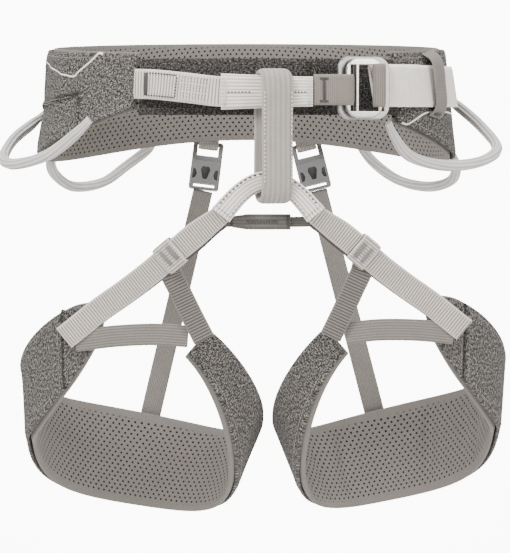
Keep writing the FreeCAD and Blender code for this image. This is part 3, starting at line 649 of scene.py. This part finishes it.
def finish_pad(piece, body, creases, rim_clear):
    """Refine a pad, press its seams in and mark them for painted shade, and mark where holes may show."""
    refine(piece, 2)
    angle, share, depth = (read_value(piece, word) for word in ("angle", "share", "depth"))
    normals = np.array([v.normal[:] for v in piece.data.vertices])
    pressed = np.zeros(len(angle))
    for crease in creases:
        pressed = np.maximum(pressed, crease(angle, share) * (depth < 0.3))
    write_points(piece, read_points(piece) - normals * (pressed * 1.6 * MM)[:, None])
    # Painted shade mask: the pressed seams are marked for darker colour
    made = piece.data.attributes.new("groove_shade", "FLOAT", "POINT")
    made.data.foreach_set("value", np.clip(pressed * 0.75, 0, 1).astype(np.float32))
    clear = smooth_step(np.minimum(share, 1 - share), rim_clear * 0.8, rim_clear)
    made = piece.data.attributes.new("inside", "FLOAT", "POINT")
    made.data.foreach_set("value", clear.astype(np.float32))
    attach(piece, body)


# Waist belt

SHELL, LINING_GAP, LINING, OVERHANG = 4.0, 0.2, 4.0, 1.2
MM_PER_DEGREE = 2.4


def belt_point(angle, offset, height):
    """Same oval as the CAD belt: 0 is -X, 90 the back, 180 is +X."""
    turn = math.radians(angle)
    half_width = 146.3 - 0.108 * height + offset
    half_depth = 107.0 - 0.10 * height + offset
    return row(2.5 - half_width * math.cos(turn), half_depth * math.sin(turn), height)


def belt_normal(angle, height):
    here = belt_point(angle, 0, height)
    ahead = belt_point(angle + 0.5, 0, height)
    above = belt_point(angle, 0, height + 1)
    return unit(np.cross(above - here, ahead - here))


def belt_upper(angle):
    return 35.5 + 6.0 * math.sin(math.radians(angle))


def belt_lower(angle):
    turn = math.radians(angle)
    return -27.0 - 16.5 * math.sin(turn) - 14.5 * math.cos(2 * turn)


def belt_surface(outer, low, top):
    def surface(angle, share, depth):
        lowest, highest = low(angle), top(angle)
        return belt_point(angle, outer - depth, lowest + (highest - lowest) * share)
    return surface


def groove_line(points, width):
    """Soft crease of a given half width along a polyline of (angle, share) points, used to press pads in and
    paint shade into them.
    """
    points = np.asarray(points, dtype=float)

    def value(angle, share):
        best = np.zeros(len(angle))
        for (a0, s0), (a1, s1) in zip(points, points[1:]):
            x, y = (angle - a0) * 2.55, (share - s0) * 65.0
            dx, dy = (a1 - a0) * 2.55, (s1 - s0) * 65.0
            t = np.clip((x * dx + y * dy) / (dx * dx + dy * dy), 0, 1)
            away = np.hypot(x - dx * t, y - dy * t)
            best = np.maximum(best, np.exp(-(away / width) ** 2))
        return best
    return value


def waist_belt():
    angles = np.linspace(-58.5, 225, 136)
    under_strap = lambda angle, share: (angle > 186) & (share > 0.25) | (angle > 216)
    shell = padded_band("waist_shell_cover", belt_surface(0, belt_lower, belt_upper), angles, 13, SHELL,
                        "heather_fabric", ["waist_shell"], under_strap, 2.6)
    inner = belt_surface(-SHELL - LINING_GAP, lambda a: belt_lower(a) - OVERHANG,
                         lambda a: belt_upper(a) + OVERHANG)
    lining = padded_band("waist_lining_cover", inner,
                         angles, 13, LINING, "lining", ["waist_foam_lining"],
                         lambda angle, share: angle < -100, 2.6, swell_in=True)
    tongues = []
    for word, outer, ends in (("left", -3.0, (-59.0, -121.0)), ("right", 2.6, (225.5, 251.0))):
        tongues.append(padded_band(
            f"front_tongue_{word}_cover", belt_surface(outer, lambda a: -11.0, lambda a: 27.0),
            np.linspace(*ends, 30 if word == "left" else 14), 9, 5.0, "dark_tongue",
            [f"front_tongue_{word}"], lambda angle, share: angle > 400, 0.9))
    return shell, lining, tongues


def belt_place(skin, offset=0.0):
    """Surface point from (run along the belt, height), pressed onto a finished pad."""
    def place(run, height):
        return skin.near(belt_point(run / MM_PER_DEGREE, offset, height))
    return place


# (angle round the belt, height) of the white piping
PIPING = {
    "left": [(-2, 27.5), (-10, 25), (-20, 20.5), (-30, 16.4), (-33, 15.8), (-36, 18.8), (-42, 26.5),
             (-46.5, 33.5)],
    "right": [(224.5, -22), (219, -15), (213, -9.8), (209, -8.6), (198, -8.8), (184, -11)],
}


def belt_details(skin):
    for word, line in PIPING.items():
        corners, _ = spline([row(angle, 0, height) for angle, height in line], 0.9)
        points = [skin.near(belt_point(angle, 1.5, height), 0.75)[0] for angle, _, height in corners]
        tube(f"belt_piping_{word}", points, 0.95, "piping", "waist", around=10, spacing=1.0)
    place = belt_place(skin, 2.0)
    for height in (-0.4, -3.8):
        start, end = (-34 * MM_PER_DEGREE, height), (-9 * MM_PER_DEGREE, height)
        stitch_line(place, start, end, "grey_thread", "waist", pitch=3.0)
    pleat = -38.4 * MM_PER_DEGREE
    stitch_line(place, (pleat, -4), (pleat, -21), "grey_thread", "waist", pitch=2.6)
    run = np.arange(-56.5, 223, 1.25)
    for a, b in zip(run, run[1:]):
        for level, inset in ((belt_lower, 3.2), (belt_upper, -3.2)):
            first, normal = place(a * MM_PER_DEGREE, level(a) + inset)
            last, _ = place((a + (b - a) * 0.72) * MM_PER_DEGREE, level(b) + inset)
            stitch(first, last, normal, "grey_thread", "waist", 0.28)


def tongue_details(skins):
    for skin, start, end in ((skins[0], -61, -119), (skins[1], 227, 249.5)):
        for height in (-7.0, 23.0):
            run = np.linspace(start, end, int(abs(end - start) / 1.4))
            for a, b in zip(run, run[1:]):
                first, normal = skin.near(belt_point(a, 4.0, height))
                last, _ = skin.near(belt_point(a + (b - a) * 0.72, 4.0, height))
                stitch(first, last, normal, "dark_thread", "waist", 0.28)
    edge = [belt_point(251.4, 1.0, h) for h in (-10.5, 0, 12, 26.5)]
    tube("tongue_edge_binding", edge, 2.0, "dark_tongue", "waist", around=12, spacing=2)


# Front webbing, tie-in sleeve, belay loop

def front_webbing():
    route = [(-72.5, -95.2, 10), (-60, -102, 9.5), (-36, -113.5, 7), (-14, -119.5, 4.5),
             (17, -119.5, 4.5), (47, -119.5, 4.5)]
    web = Ribbon(route, FRONT, 20.0, 2.2)
    web.piece("front_web", "ribbed_webbing", "waist", ["structural_web"], "across", 2.2, 0.42)
    stitch_line(web.at, (32.5, -6.5), (32.5, 7.5), "dark_thread", "waist", 2.0, radius=0.6)
    for t in (-7.5, 7.5):
        stitch_line(web.at, (11, t), (32, t), "dark_thread", "waist", 2.2, radius=0.5)
    bartack(web.at, 9.3, 0, 2.8, 15.5, "dark_thread", "waist", 0.6, radius=0.5)
    for s in (37, 41, 45, 49, 53):
        stitch_line(web.at, (s, -8), (s, 8), "pale_thread", "waist", 2.0)
    for t in (-8, -2.7, 2.7, 8):
        stitch_line(web.at, (35.5, t), (55, t), "pale_thread", "waist", 2.2)

    sleeve = Ribbon([(-14, -119.5, 4.5), (17, -119.5, 4.5), (47, -119.5, 4.5)], FRONT, 21.0, 5.0)
    sleeve.piece("tie_in_sleeve", "cream_webbing", "waist", ["upper_tie_in_sleeve"], "along", 2.1, 0.4,
                 widths=lambda share: 1.14 - 0.22 * share)
    for start, end in ((4, 20), (40, 57)):
        stitch_line(sleeve.at, (start, 0.3), (end, 0.3), "dark_thread", "waist", 2.2, radius=0.5)
    bartack(sleeve.at, 2.2, 0, 2.4, 19, "pale_thread", "waist", 0.8)
    bartack(sleeve.at, 58.6, 0, 2.4, 17, "pale_thread", "waist", 0.8)


def buckle_point(along, outward, height):
    turn = math.radians(22.0)
    return row(80.5 + along * math.cos(turn) + outward * math.sin(turn),
               -105.0 + along * math.sin(turn) - outward * math.cos(turn), height)


def anchor_webbing():
    level = 5.75
    near = [(47.6, -119.5), (58, -120.3), (67, -119.3)]
    route = [row(x, y, level) for x, y in near]
    around = [(-15.5, 9.2), (-11.6, 9.0), (-9.9, 7.2), (-9.8, 0.6), (-11.4, -1.6), (-16, -1.9), (-23, -1.2)]
    route += [buckle_point(a, b, level) for a, b in around]
    web = upright(route, 20.6, 1.8)
    web.piece("buckle_anchor", "anchor_webbing", "waist", ["buckle_anchor_web"], "across", 1.3, 0.2)
    bartack(web.at, 7.0, 0, 2.0, 15, "dark_thread", "waist", 0.8, radius=0.5)
    for t in (-7.5, 7.5):
        bartack(web.at, 7.0, t, 6.0, 1.6, "dark_thread", "waist", 0.8, upright=False, radius=0.5)


def upright(route, width, thickness, spacing=0.45):
    """Tape standing on edge whose face turns with the line in plan."""
    made = Ribbon(route, UP, width, thickness, spacing)
    made.face = unit(np.cross(made.along, UP))
    made.across = unit(np.cross(made.along, made.face))
    return made


def belay_loop():
    turn = math.radians(15.0)
    centre = row(20.8, -119.5, (20.0 - 70.2) / 2)
    half_gap, half_height, radius = 9.75, 45.1 - 2.25, 8.6
    cut = radius * 0.3
    quarter = [(half_gap, half_height - radius), (half_gap - cut, half_height - cut)]
    profile = [(-half_gap, 0.0)] + [(-y, z) for y, z in quarter] + [(0.0, half_height)] + quarter[::-1]
    profile += [(half_gap, 0.0)] + [(y, -z) for y, z in quarter] + [(0.0, -half_height)]
    profile += [(-y, -z) for y, z in quarter[::-1]]
    depthways = row(-math.sin(turn), math.cos(turn), 0)
    outline = [centre + depthways * y + UP * z for y, z in profile]

    def outward(point):
        away = point - centre
        side = row(math.cos(turn), math.sin(turn), 0)
        away = away - side * away.dot(side)
        reach = depthways * away.dot(depthways) * 4
        return unit(reach + UP * away[2] * (0.02 if abs(away[2]) < 34 else 1.0))

    loop = Ribbon(outline, outward, 21.0, 4.4, 0.9, closed=True)
    loop.piece("belay_loop_cover", "loop_webbing", "belay_loop", ["belay_loop"], "along", 3.4, 0.12)
    half = loop.s[-1] / 2
    for s in (half - 24, half + 4):
        bartack(loop.at, s, 0, 3.2, 15, "dark_thread", "belay_loop", 0.6, radius=0.6)
    for t in (-9.2, 9.2):
        stitch_line(loop.at, (0.5, t), (30, t), "pale_thread", "belay_loop", 2.6)
        stitch_line(loop.at, (loop.s[-1] - 30, t), (loop.s[-1] - 1, t), "pale_thread", "belay_loop", 2.6)


def arch_line(radius, half_angle, count=9):
    turns = np.radians(np.linspace(-half_angle, half_angle, count))
    return [row(17.5 + radius * math.sin(t), -119.5, -87.6 + radius * math.cos(t)) for t in turns]


def lower_tie_in():
    half = [(-31.8, -77.5), (-28, -73.0), (-20, -64.2), (-12, -58.0), (-5, -55.2)]
    line = half + [(0, -54.8)] + [(-x, z) for x, z in reversed(half)]
    cover = Ribbon([row(17.5 + x, -119.5, z) for x, z in line], FRONT, 13.0, 6.0, 0.5)
    cover.piece("lower_tie_in_cover", "cream_webbing", "tie_in_bridge", ["lower_tie_in_sleeve"],
                "along", 2.2, 0.16, widths=lambda share: 1.16 - 0.16 * np.sin(np.pi * share))
    for s in (3.0, cover.s[-1] - 3.0):
        stitch_line(cover.at, (s, -6.6), (s, 6.6), "grey_thread", "tie_in_bridge", 2.2, radius=0.4)
    web = Ribbon(arch_line(33.1, 71.5), FRONT, 9.0, 2.0, 0.6)
    web.piece("lower_tie_in_core", "taupe_webbing", "tie_in_bridge", ["lower_tie_in_web"], "across", 1.6, 0.2)
    length = cover.s[-1]
    for t, look, radius in ((-5.2, "dark_thread", 0.5), (5.2, "grey_thread", 0.35)):
        stitch_line(cover.at, (5, t), (length - 5, t), look, "tie_in_bridge", 3.0, radius=radius)


def leg_link():
    strap = Ribbon([(-12, -110.5, -82.5), (38, -110.5, -82.5), (48.5, -112.5, -82.0)], FRONT, 7.0, 1.6, 0.4)
    strap.piece("leg_link", "link_webbing", "tie_in_bridge", ["leg_link_strap"], "along", 1.8, 0.25)
    sleeve_line = [(x, -110.5, -82.5) for x in (-6.5, 13, 32.5)]
    sleeve = Ribbon(sleeve_line, FRONT, 10.5, 4.4, 0.4)
    sleeve.piece("leg_link_cover", "link_webbing", "tie_in_bridge", ["leg_link_sleeve"], "along", 2.4, 0.12,
                 widths=lambda share: 0.72 + 0.28 * np.clip(share * 4, 0, 1))
    for i in range(11):
        step = 10 + 1.9 * i
        stitch_line(sleeve.at, (step, -2.2), (step + 1.4, 2.2), "dark_thread", "tie_in_bridge", 5,
                    radius=0.65)
    bartack(sleeve.at, 37.2, 0, 1.8, 9.0, "dark_thread", "tie_in_bridge", 0.7, radius=0.42)


# Waist strap and keeper

def waist_strap():
    lift = 8.8
    outward = row(0.7, -0.7, 0.14)

    def route(layer, near, outer):
        points = [buckle_point(a, b, lift) for a, b in near]
        points += [row(118.5, -79.5, lift) + row(0.8, -0.6, 0) * layer]
        points += [belt_point(angle, outer, lift) for angle in (213, 206, 199, 190)]
        return points

    load = Ribbon(route(0.0, [(6.5, 1.0), (9.0, -2.2), (16, -2.9), (26, -2.9)], 2.0), outward, 29.0, 1.6)
    tail = Ribbon(route(2.0, [(11.0, 2.0), (13.2, -0.3), (18, -0.9), (27, -0.9)], 4.0), outward, 29.0, 1.6)
    load.piece("waist_strap", "cream_webbing", "waist", ["waist_load_strap"], "across", 1.0, 0.15)
    tail.piece("waist_strap_free_end", "cream_webbing", "waist", ["waist_strap_tail"], "across", 1.0, 0.15)
    bar = [(5.2, 6.0), (7.2, 8.6), (10.5, 9.4), (13.1, 8.4), (13.5, 6.0), (12.4, 4.2)]
    fold = upright([buckle_point(a, b, lift) for a, b in bar], 29.0, 1.1, 0.3)
    fold.piece("buckle_fold", "anchor_webbing", "buckle_front", ["buckle_strap_wrap"], "across", 1.5, 0.14)


def tail_keeper():
    angle = 208.5
    heights = [(1.0, -12.5), (4.8, -9.0), (7.3, -4.0), (7.8, 8.0), (7.3, 24.5), (4.6, 29.5), (0.2, 32.5)]
    route = [belt_point(angle, offset, height) for offset, height in heights]
    keeper = Ribbon(route, belt_normal(angle, 5) + UP * 0.01, 14.0, 1.4, 0.4)
    keeper.piece("strap_keeper", "elastic", "waist", ["tail_keeper"], "across", 1.2, 0.16)
    bartack(keeper.at, 3.4, 0, 2.6, 9, "dark_thread", "waist", 0.7)


# Gear loops

GEAR_LOOPS = {
    "front_left": [(-104, -80, -14), (-110.7, -78.1, -21), (-133, -70, -38), (-158, -53, -45), (-168, -34, -42),
                   (-164, -8, -29), (-150.5, 15, -16), (-144, 20, -10)],
    "rear_left": [(-140, 38, -37), (-142, 44, -45), (-140, 66, -56), (-128, 88, -65), (-107, 102, -62),
                  (-90, 107, -50), (-72, 106, -36), (-68, 100, -30)],
    "front_right": [(99, -86, -16), (102, -84, -23), (113, -77, -38), (137, -65, -45.5), (165, -49, -43.5),
                    (179, -29, -35), (171, -4, -20), (150.5, 30, 0), (145, 34, 4)],
    "rear_right": [(83, 93, -24), (87, 97, -31), (98, 103, -46), (117, 101, -60), (138, 88, -65),
                   (154, 62, -60), (155, 27, -46), (151, 22, -38)],
}


def gear_loops():
    ridges = lambda turn: 1 + 0.10 * np.cos(turn * 8)
    for word, points in GEAR_LOOPS.items():
        points = [row(*point) for point in points]
        away = unit(np.mean(points, axis=0) * row(1, 1, 0))
        tube(f"gear_loop_{word}_moulding", points, 3.6, "gear_loop", f"gear_loop_{word}", [f"gear_loop_{word}"],
             around=54, spacing=1.0, profile=ridges, outward=away,
             flat=lambda share: 0.62 + 0.38 * smooth_step(np.minimum(share, 1 - share), 0.0, 0.12))


# Leg loops

LEG_EDGES = {
    "top": dict(out=90.0, half=88.0, back=71.0, front=74.0, square=2.3, height=-214.4, slope=0.596, side=0.19,
                saddle=0.0047, outer=18.0, inner=8.0),
    "low": dict(out=97.7, half=77.0, back=74.0, front=70.0, square=2.1, height=-265.4, slope=0.905, side=0.144,
                saddle=0.0052, outer=57.0, inner=-14.5),
}


def leg_point(side, out, depth, height):
    if side < 0:
        return row(18.0 - out, depth, height)
    return row(18.0 + 0.956 * out, depth, height + 7.0 * out / 176.0)


def leg_edge(word, angle):
    edge = LEG_EDGES[word]
    turn = math.radians(angle)
    power = 2 / edge["square"]
    sideways = math.copysign(abs(math.cos(turn)) ** power, math.cos(turn))
    backwards = math.copysign(abs(math.sin(turn)) ** power, math.sin(turn))
    reach = edge["back"] if backwards > 0 else edge["front"]
    out = edge["out"] + edge["half"] * sideways
    depth = -10.0 + reach * backwards
    height = edge["height"] - edge["slope"] * depth + edge["side"] * (out - 96) + edge["saddle"] * depth ** 2
    dip = edge["outer"] * max(0.0, sideways) + edge["inner"] * max(0.0, -sideways)
    return out, depth, height - dip * max(0.0, -backwards)


def leg_surface(side, inset, overhang):
    def surface(angle, share, depth):
        (top_out, top_depth, top), (low_out, low_depth, low) = leg_edge("top", angle), leg_edge("low", angle)
        top, low = top + overhang, low - overhang
        past = (-56.0 - angle) / 22.0
        if past > 0:
            keep = math.sqrt(max(0.0, 1 - past ** 2)) * 0.75 + 0.25
            middle = 0.6 * top + 0.4 * low
            top, low = middle + (top - middle) * keep, middle + (low - middle) * keep
        cosine, sine = math.cos(math.radians(angle)), math.sin(math.radians(angle))
        move = inset + depth
        upper = leg_point(side, top_out - move * cosine, top_depth - move * sine, top)
        lower = leg_point(side, low_out - move * cosine, low_depth - move * sine, low)
        return lower + (upper - lower) * share
    return surface


def leg_pads(word, side):
    angles = np.linspace(-78, 237, 112)
    still = lambda angle, share: (angle < -48) | (angle > 228)
    shell = padded_band(f"leg_shell_{word}_cover", leg_surface(side, 0, 0), angles, 15, 4.0, "heather_fabric",
                        [f"leg_pad_shell_{word}"], still, 3.0)
    lining = padded_band(f"leg_lining_{word}_cover", leg_surface(side, 4.5, 1.2), angles, 15, 4.0, "lining",
                         [f"leg_foam_lining_{word}"], still, 3.0, swell_in=True)
    return shell, lining


def leg_route(side):
    top = (40, -112.5, -77) if side < 0 else (35, -112.5, -77)
    rest = [(53, -109.5, -94), (66.5, -104.5, -105.5), (80, -99.5, -117), (98, -92, -131), (116, -85.8, -144),
            (127, -83.4, -153), (137, -81, -161)]
    return [leg_point(side, *point) for point in [top] + rest]


def leg_details(word, side, skin):
    body = f"leg_loop_{word}"
    surface = leg_surface(side, 0, 0)

    def place(angle, share):
        return skin.near(surface(angle, share, -2.0))

    for angle in (-58.6, -53.6):
        for share in np.arange(0.08, 0.92, 0.045):
            first, normal = place(angle, share)
            last, _ = place(angle, share + 0.03)
            stitch(first, last, normal, "grey_thread", body, 0.36)
    for share in (0.07, 0.93):
        run = np.arange(-50, 232, 1.8)
        for a, b in zip(run, run[1:]):
            first, normal = place(a, share)
            last, _ = place(a + (b - a) * 0.7, share)
            stitch(first, last, normal, "grey_thread", body, 0.26)


def leg_straps(word, side):
    body = f"leg_loop_{word}"
    route = leg_route(side)
    reach = 1 if side < 0 else -1
    middle = 17.5
    start = row(middle - reach * 27.0, -118.5, -72.5)
    bend = row(middle - reach * 32.5, -117.4, -78.0)
    limb = [start, bend, (route[1] + bend) / 2]
    inside = leg_point(side, 140.5, -79.4, -163.8)
    line = limb + route[1:] + [inside]
    outer = Ribbon(line, FRONT, 17.0, 2.0, 0.4)
    narrow = lambda share: 0.80 + 0.20 * smooth_step(share, 0.03, 0.22)
    strap = outer.piece(f"leg_strap_{word}", "taupe_webbing", None, [f"leg_outer_strap_{word}"],
                        "across", 2.0, 0.36, widths=narrow)
    drops = (1.6, 1.5, 1.4, 1, 0.8, 0.6, 0.5, 0.4)
    lower = [point + row(reach * 1.0, 1.7, -1.8 * drop) for point, drop in zip(line[1:-2], drops)]
    backing = Ribbon(lower, FRONT, 15.5, 1.4, 0.6)
    back_tape = backing.piece(f"leg_strap_backing_{word}", "edge_webbing", None, (), "across", 1.8, 0.2,
                              widths=narrow)
    for piece in (strap, back_tape):
        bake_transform(piece)

    inner_places = ((66, -99, -118), (61, -96.5, -129), (53, -92, -146), (44, -89, -164))
    inner_route = [leg_point(side, *place) for place in inner_places]
    top = leg_point(side, 67.0, -102.6, -108.0)
    inner = Ribbon([top] + inner_route, FRONT, 15.0, 2.0, 0.4)
    piece = inner.piece(f"leg_inner_{word}", "shaded_inner_webbing", None, [f"leg_inner_strap_{word}"],
                        "across", 2.1, 0.34)
    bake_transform(piece)

    elastic_places = ((133, -78.8, -166), (106, -85.5, -162), (78, -88, -160.5), (55, -87, -162))
    points = [leg_point(side, *place) for place in elastic_places]
    stretch = Ribbon(points, FRONT, 15.0, 1.6, 0.4)
    stretch.piece(f"leg_stretch_{word}", "elastic", body, [f"leg_elastic_{word}"], "along", 1.9, 0.08)
    keeper(word, route)


def keeper(word, route):
    """Tape folded round the strap, sewn with a bartack on each side."""
    before, centre, after = route[1], route[2], route[3]
    along = unit(after - before)
    across = unit(np.cross(along, FRONT))
    face = unit(np.cross(across, along))
    half_wide, half_tall = 9.3 + 0.6, 1.9 + 0.6
    upper = [(-1, 0), (-0.92, 0.85), (-0.5, 1), (0, 1), (0.5, 1), (0.92, 0.85)]
    section = upper + [(-a, -b) for a, b in upper]
    loop = [centre + across * half_wide * a + face * half_tall * b for a, b in section]

    def outward(point):
        away = point - centre
        sideways = away.dot(across)
        return unit(across * sideways * (abs(sideways) > 9) + face * away.dot(face))

    band = Ribbon(loop, outward, 15.0, 1.2, 0.5, closed=True)
    body = f"leg_keeper_{word}"
    band.piece(f"leg_keeper_{word}_tape", "taupe_webbing", body, [f"leg_keeper_{word}"], "across", 2.0, 0.16)

    def place(s, t):
        return centre + across * t + along * s + face * (half_tall + 0.7), face

    for s, length in ((-3.6, 3.6), (2.6, 2.8)):
        bartack(place, s, 0.6, length, 12.5, "grey_thread", body, 0.75, radius=0.42)


# Rear risers

def turned(side, vector):
    lean = math.radians(7.0 if side < 0 else -14.0)
    tip = math.radians(-10.0)
    x, y, z = vector
    y, z = y * math.cos(tip) - z * math.sin(tip), y * math.sin(tip) + z * math.cos(tip)
    return row(x * math.cos(lean) + z * math.sin(lean), y, -x * math.sin(lean) + z * math.cos(lean))


def clip_base(side):
    """Lower middle of the clip, where the riser starts."""
    return row(-31, 106.6, -68) if side < 0 else row(56, 104.6, -68)


def risers(word, side):
    base = clip_base(side)
    end = row(-69, 60, -232) if side < 0 else row(97, 60, -229)
    first = base + turned(side, (0, 0, -0.6))
    middle = (first + end) / 2 + row(0, 3, 0)
    tucked = end + unit(end - middle) * 5.0 + row(0, 1.5, 0)
    elastic = Ribbon([first, middle, end, tucked], BACK, 15.0, 1.6, 0.45)
    piece = elastic.piece(f"riser_{word}", "elastic", "waist", [f"riser_elastic_{word}"], "along", 1.3, 0.18)
    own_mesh(piece)
    bartack(elastic.at, 12, 0, 1.8, 13, "dark_thread", "waist", 0.8)

    bar = base + turned(side, (0, 0, 37.3))
    up, side_way = turned(side, (0, 0, 1)), turned(side, (1, 0, 0))
    depth = unit(np.cross(up, side_way))
    loop = []
    for a, b in ((-3.2, 0), (-3.0, 4.4), (0, 5.7), (3.0, 4.4), (3.2, 0), (3.0, -4.4), (0, -5.7), (-3.0, -4.4)):
        loop.append(bar + depth * a + up * b)
    outward = lambda p: unit(depth * np.dot(p - bar, depth) * 2 + up * np.dot(p - bar, up) * 0.5)
    tab = Ribbon(loop, outward, 15.0, 1.6, 0.5, closed=True)
    tab.piece(f"riser_tab_{word}_tape", "taupe_webbing", "waist", [f"riser_tab_{word}"], "along", 1.3, 0.16)


def clip_shadows(word, side):
    """Thin dark plates that stand in for the clip's middle window and two thumb gaps."""
    base = clip_base(side)
    shapes = {
        "window": [(-1.6, 8.0), (1.6, 8.0), (3.6, 15.0), (2.6, 17.5), (-2.6, 17.5), (-3.6, 15.0)],
        "gap_a": [(-9.6, 7.6), (-7.4, 8.4), (-6.4, 11.5), (-7.4, 14.8), (-9.6, 15.6)],
        "gap_b": [(9.6, 15.6), (7.4, 14.8), (6.4, 11.5), (7.4, 8.4), (9.6, 7.6)],
    }
    for label, outline in shapes.items():
        for face in (-1, 1):
            corners = [base + turned(side, (x, face * 4.06, z)) for x, z in outline]
            back = [base + turned(side, (x, face * 3.6, z)) for x, z in outline]
            count = len(outline)
            faces = [tuple(range(count)), tuple(range(2 * count - 1, count - 1, -1))]
            faces += [(i, count + i, count + (i + 1) % count, (i + 1) % count) for i in range(count)]
            make_piece(f"clip_{label}_{word}_{'front' if face < 0 else 'back'}", np.array(corners + back), faces,
                       "clip_shadow", "waist")


# Build

def paint_cad_nodes():
    """Hard parts keep their CAD shape and take a finished material."""
    slots = {entry["node"]: entry["material_slot"] for entry in frame["record"]["subparts"]}
    for name, node in nodes.items():
        look = slots.get(name)
        if look in ("polished_metal", "brushed_metal", "clip_plastic"):
            for slot in node.material_slots:
                slot.material = MATERIALS[look]


def camera_and_light():
    camera = bpy.data.cameras.new("camera")
    camera.lens = 150.1
    camera.sensor_width = 36.0
    camera.clip_start, camera.clip_end = 0.05, 50
    eye = bpy.data.objects.new("camera", camera)
    eye.location = (0.0086, -1.65596, -0.0112)
    eye.rotation_euler = (math.radians(86), 0, 0)
    scene.collection.objects.link(eye)
    scene.camera = eye
    world = bpy.data.worlds.new("studio")
    world.use_nodes = True
    tree = world.node_tree
    tree.nodes["Background"].inputs[0].default_value = (1.0, 0.99, 0.98, 1)
    direction = tree.nodes.new("ShaderNodeTexCoord")
    parts = tree.nodes.new("ShaderNodeSeparateXYZ")
    spread = tree.nodes.new("ShaderNodeMapRange")
    spread.interpolation_type = "SMOOTHSTEP"
    tree.links.new(direction.outputs["Generated"], parts.inputs[0])
    tree.links.new(parts.outputs[1], spread.inputs["Value"])
    for socket, value in (("From Min", 0.93), ("From Max", 0.985), ("To Min", 1.5), ("To Max", 11.0)):
        spread.inputs[socket].default_value = value
    tree.links.new(spread.outputs[0], tree.nodes["Background"].inputs[1])
    scene.world = world
    target = Vector((0, 0, -0.12))
    for name, place, size, power in (("key", (-1.2, -1.5, 1.6), 1.1, 100), ("fill", (1.6, -1.3, 0.5), 1.0, 34),
                                     ("top", (0.1, 0.6, 1.8), 1.2, 24)):
        light = bpy.data.lights.new(name, "AREA")
        light.size = size
        light.energy = power
        lamp = bpy.data.objects.new(name, light)
        lamp.location = place
        lamp.rotation_euler = (target - Vector(place)).to_track_quat("-Z", "Y").to_euler()
        scene.collection.objects.link(lamp)


def floor():
    """Pale round table top under the harness."""
    mesh = bpy.data.meshes.new("floor")
    radius, level = 0.46, cad_low[2] - 0.12
    turns = np.linspace(0, 2 * np.pi, 97)[:-1]
    rim = [(radius * math.cos(a), radius * math.sin(a), level) for a in turns]
    mesh.from_pydata(rim, [], [tuple(range(len(rim)))])
    pale = bpy.data.materials.new("pale floor")
    pale.use_nodes = True
    pale.node_tree.nodes["Principled BSDF"].inputs["Base Color"].default_value = (0.93, 0.92, 0.91, 1)
    pale.node_tree.nodes["Principled BSDF"].inputs["Roughness"].default_value = 0.9
    mesh.materials.append(pale)
    plane = bpy.data.objects.new("floor", mesh)
    scene.collection.objects.link(plane)


camera_and_light()
floor()
paint_cad_nodes()
shell, lining, tongues = waist_belt()
legs = {word: leg_pads(word, side) for word, side in SIDES.items()}
swell_pads()
# Creases pressed into the pads and painted darker as painted shade
left_dart = [(-37, 0.48), (-20, 0.47), (-5, 0.48)]
left_pleat = [(-37, 0.47), (-37.5, 0.06)]
finish_pad(shell, "waist", [groove_line(left_dart, 2.4), groove_line(left_pleat, 2.0)], 0.0)
finish_pad(lining, "waist", [], 0.04)
for tongue in tongues:
    finish_pad(tongue, "waist", [], 0.0)
for word, (leg_shell, leg_lining) in legs.items():
    slit = [(-56.5, 0.0), (-56.5, 1.0)]
    finish_pad(leg_shell, f"leg_loop_{word}", [groove_line(slit, 2.2)], 0.0)
    finish_pad(leg_lining, f"leg_loop_{word}", [], 0.09)
belt_details(Skin(shell))
tongue_details([Skin(tongue) for tongue in tongues])
front_webbing()
anchor_webbing()
belay_loop()
lower_tie_in()
leg_link()
waist_strap()
tail_keeper()
gear_loops()
for word, side in SIDES.items():
    leg_details(word, side, Skin(legs[word][0]))
    leg_straps(word, side)
    risers(word, side)
    clip_shadows(word, side)
sew_everything()
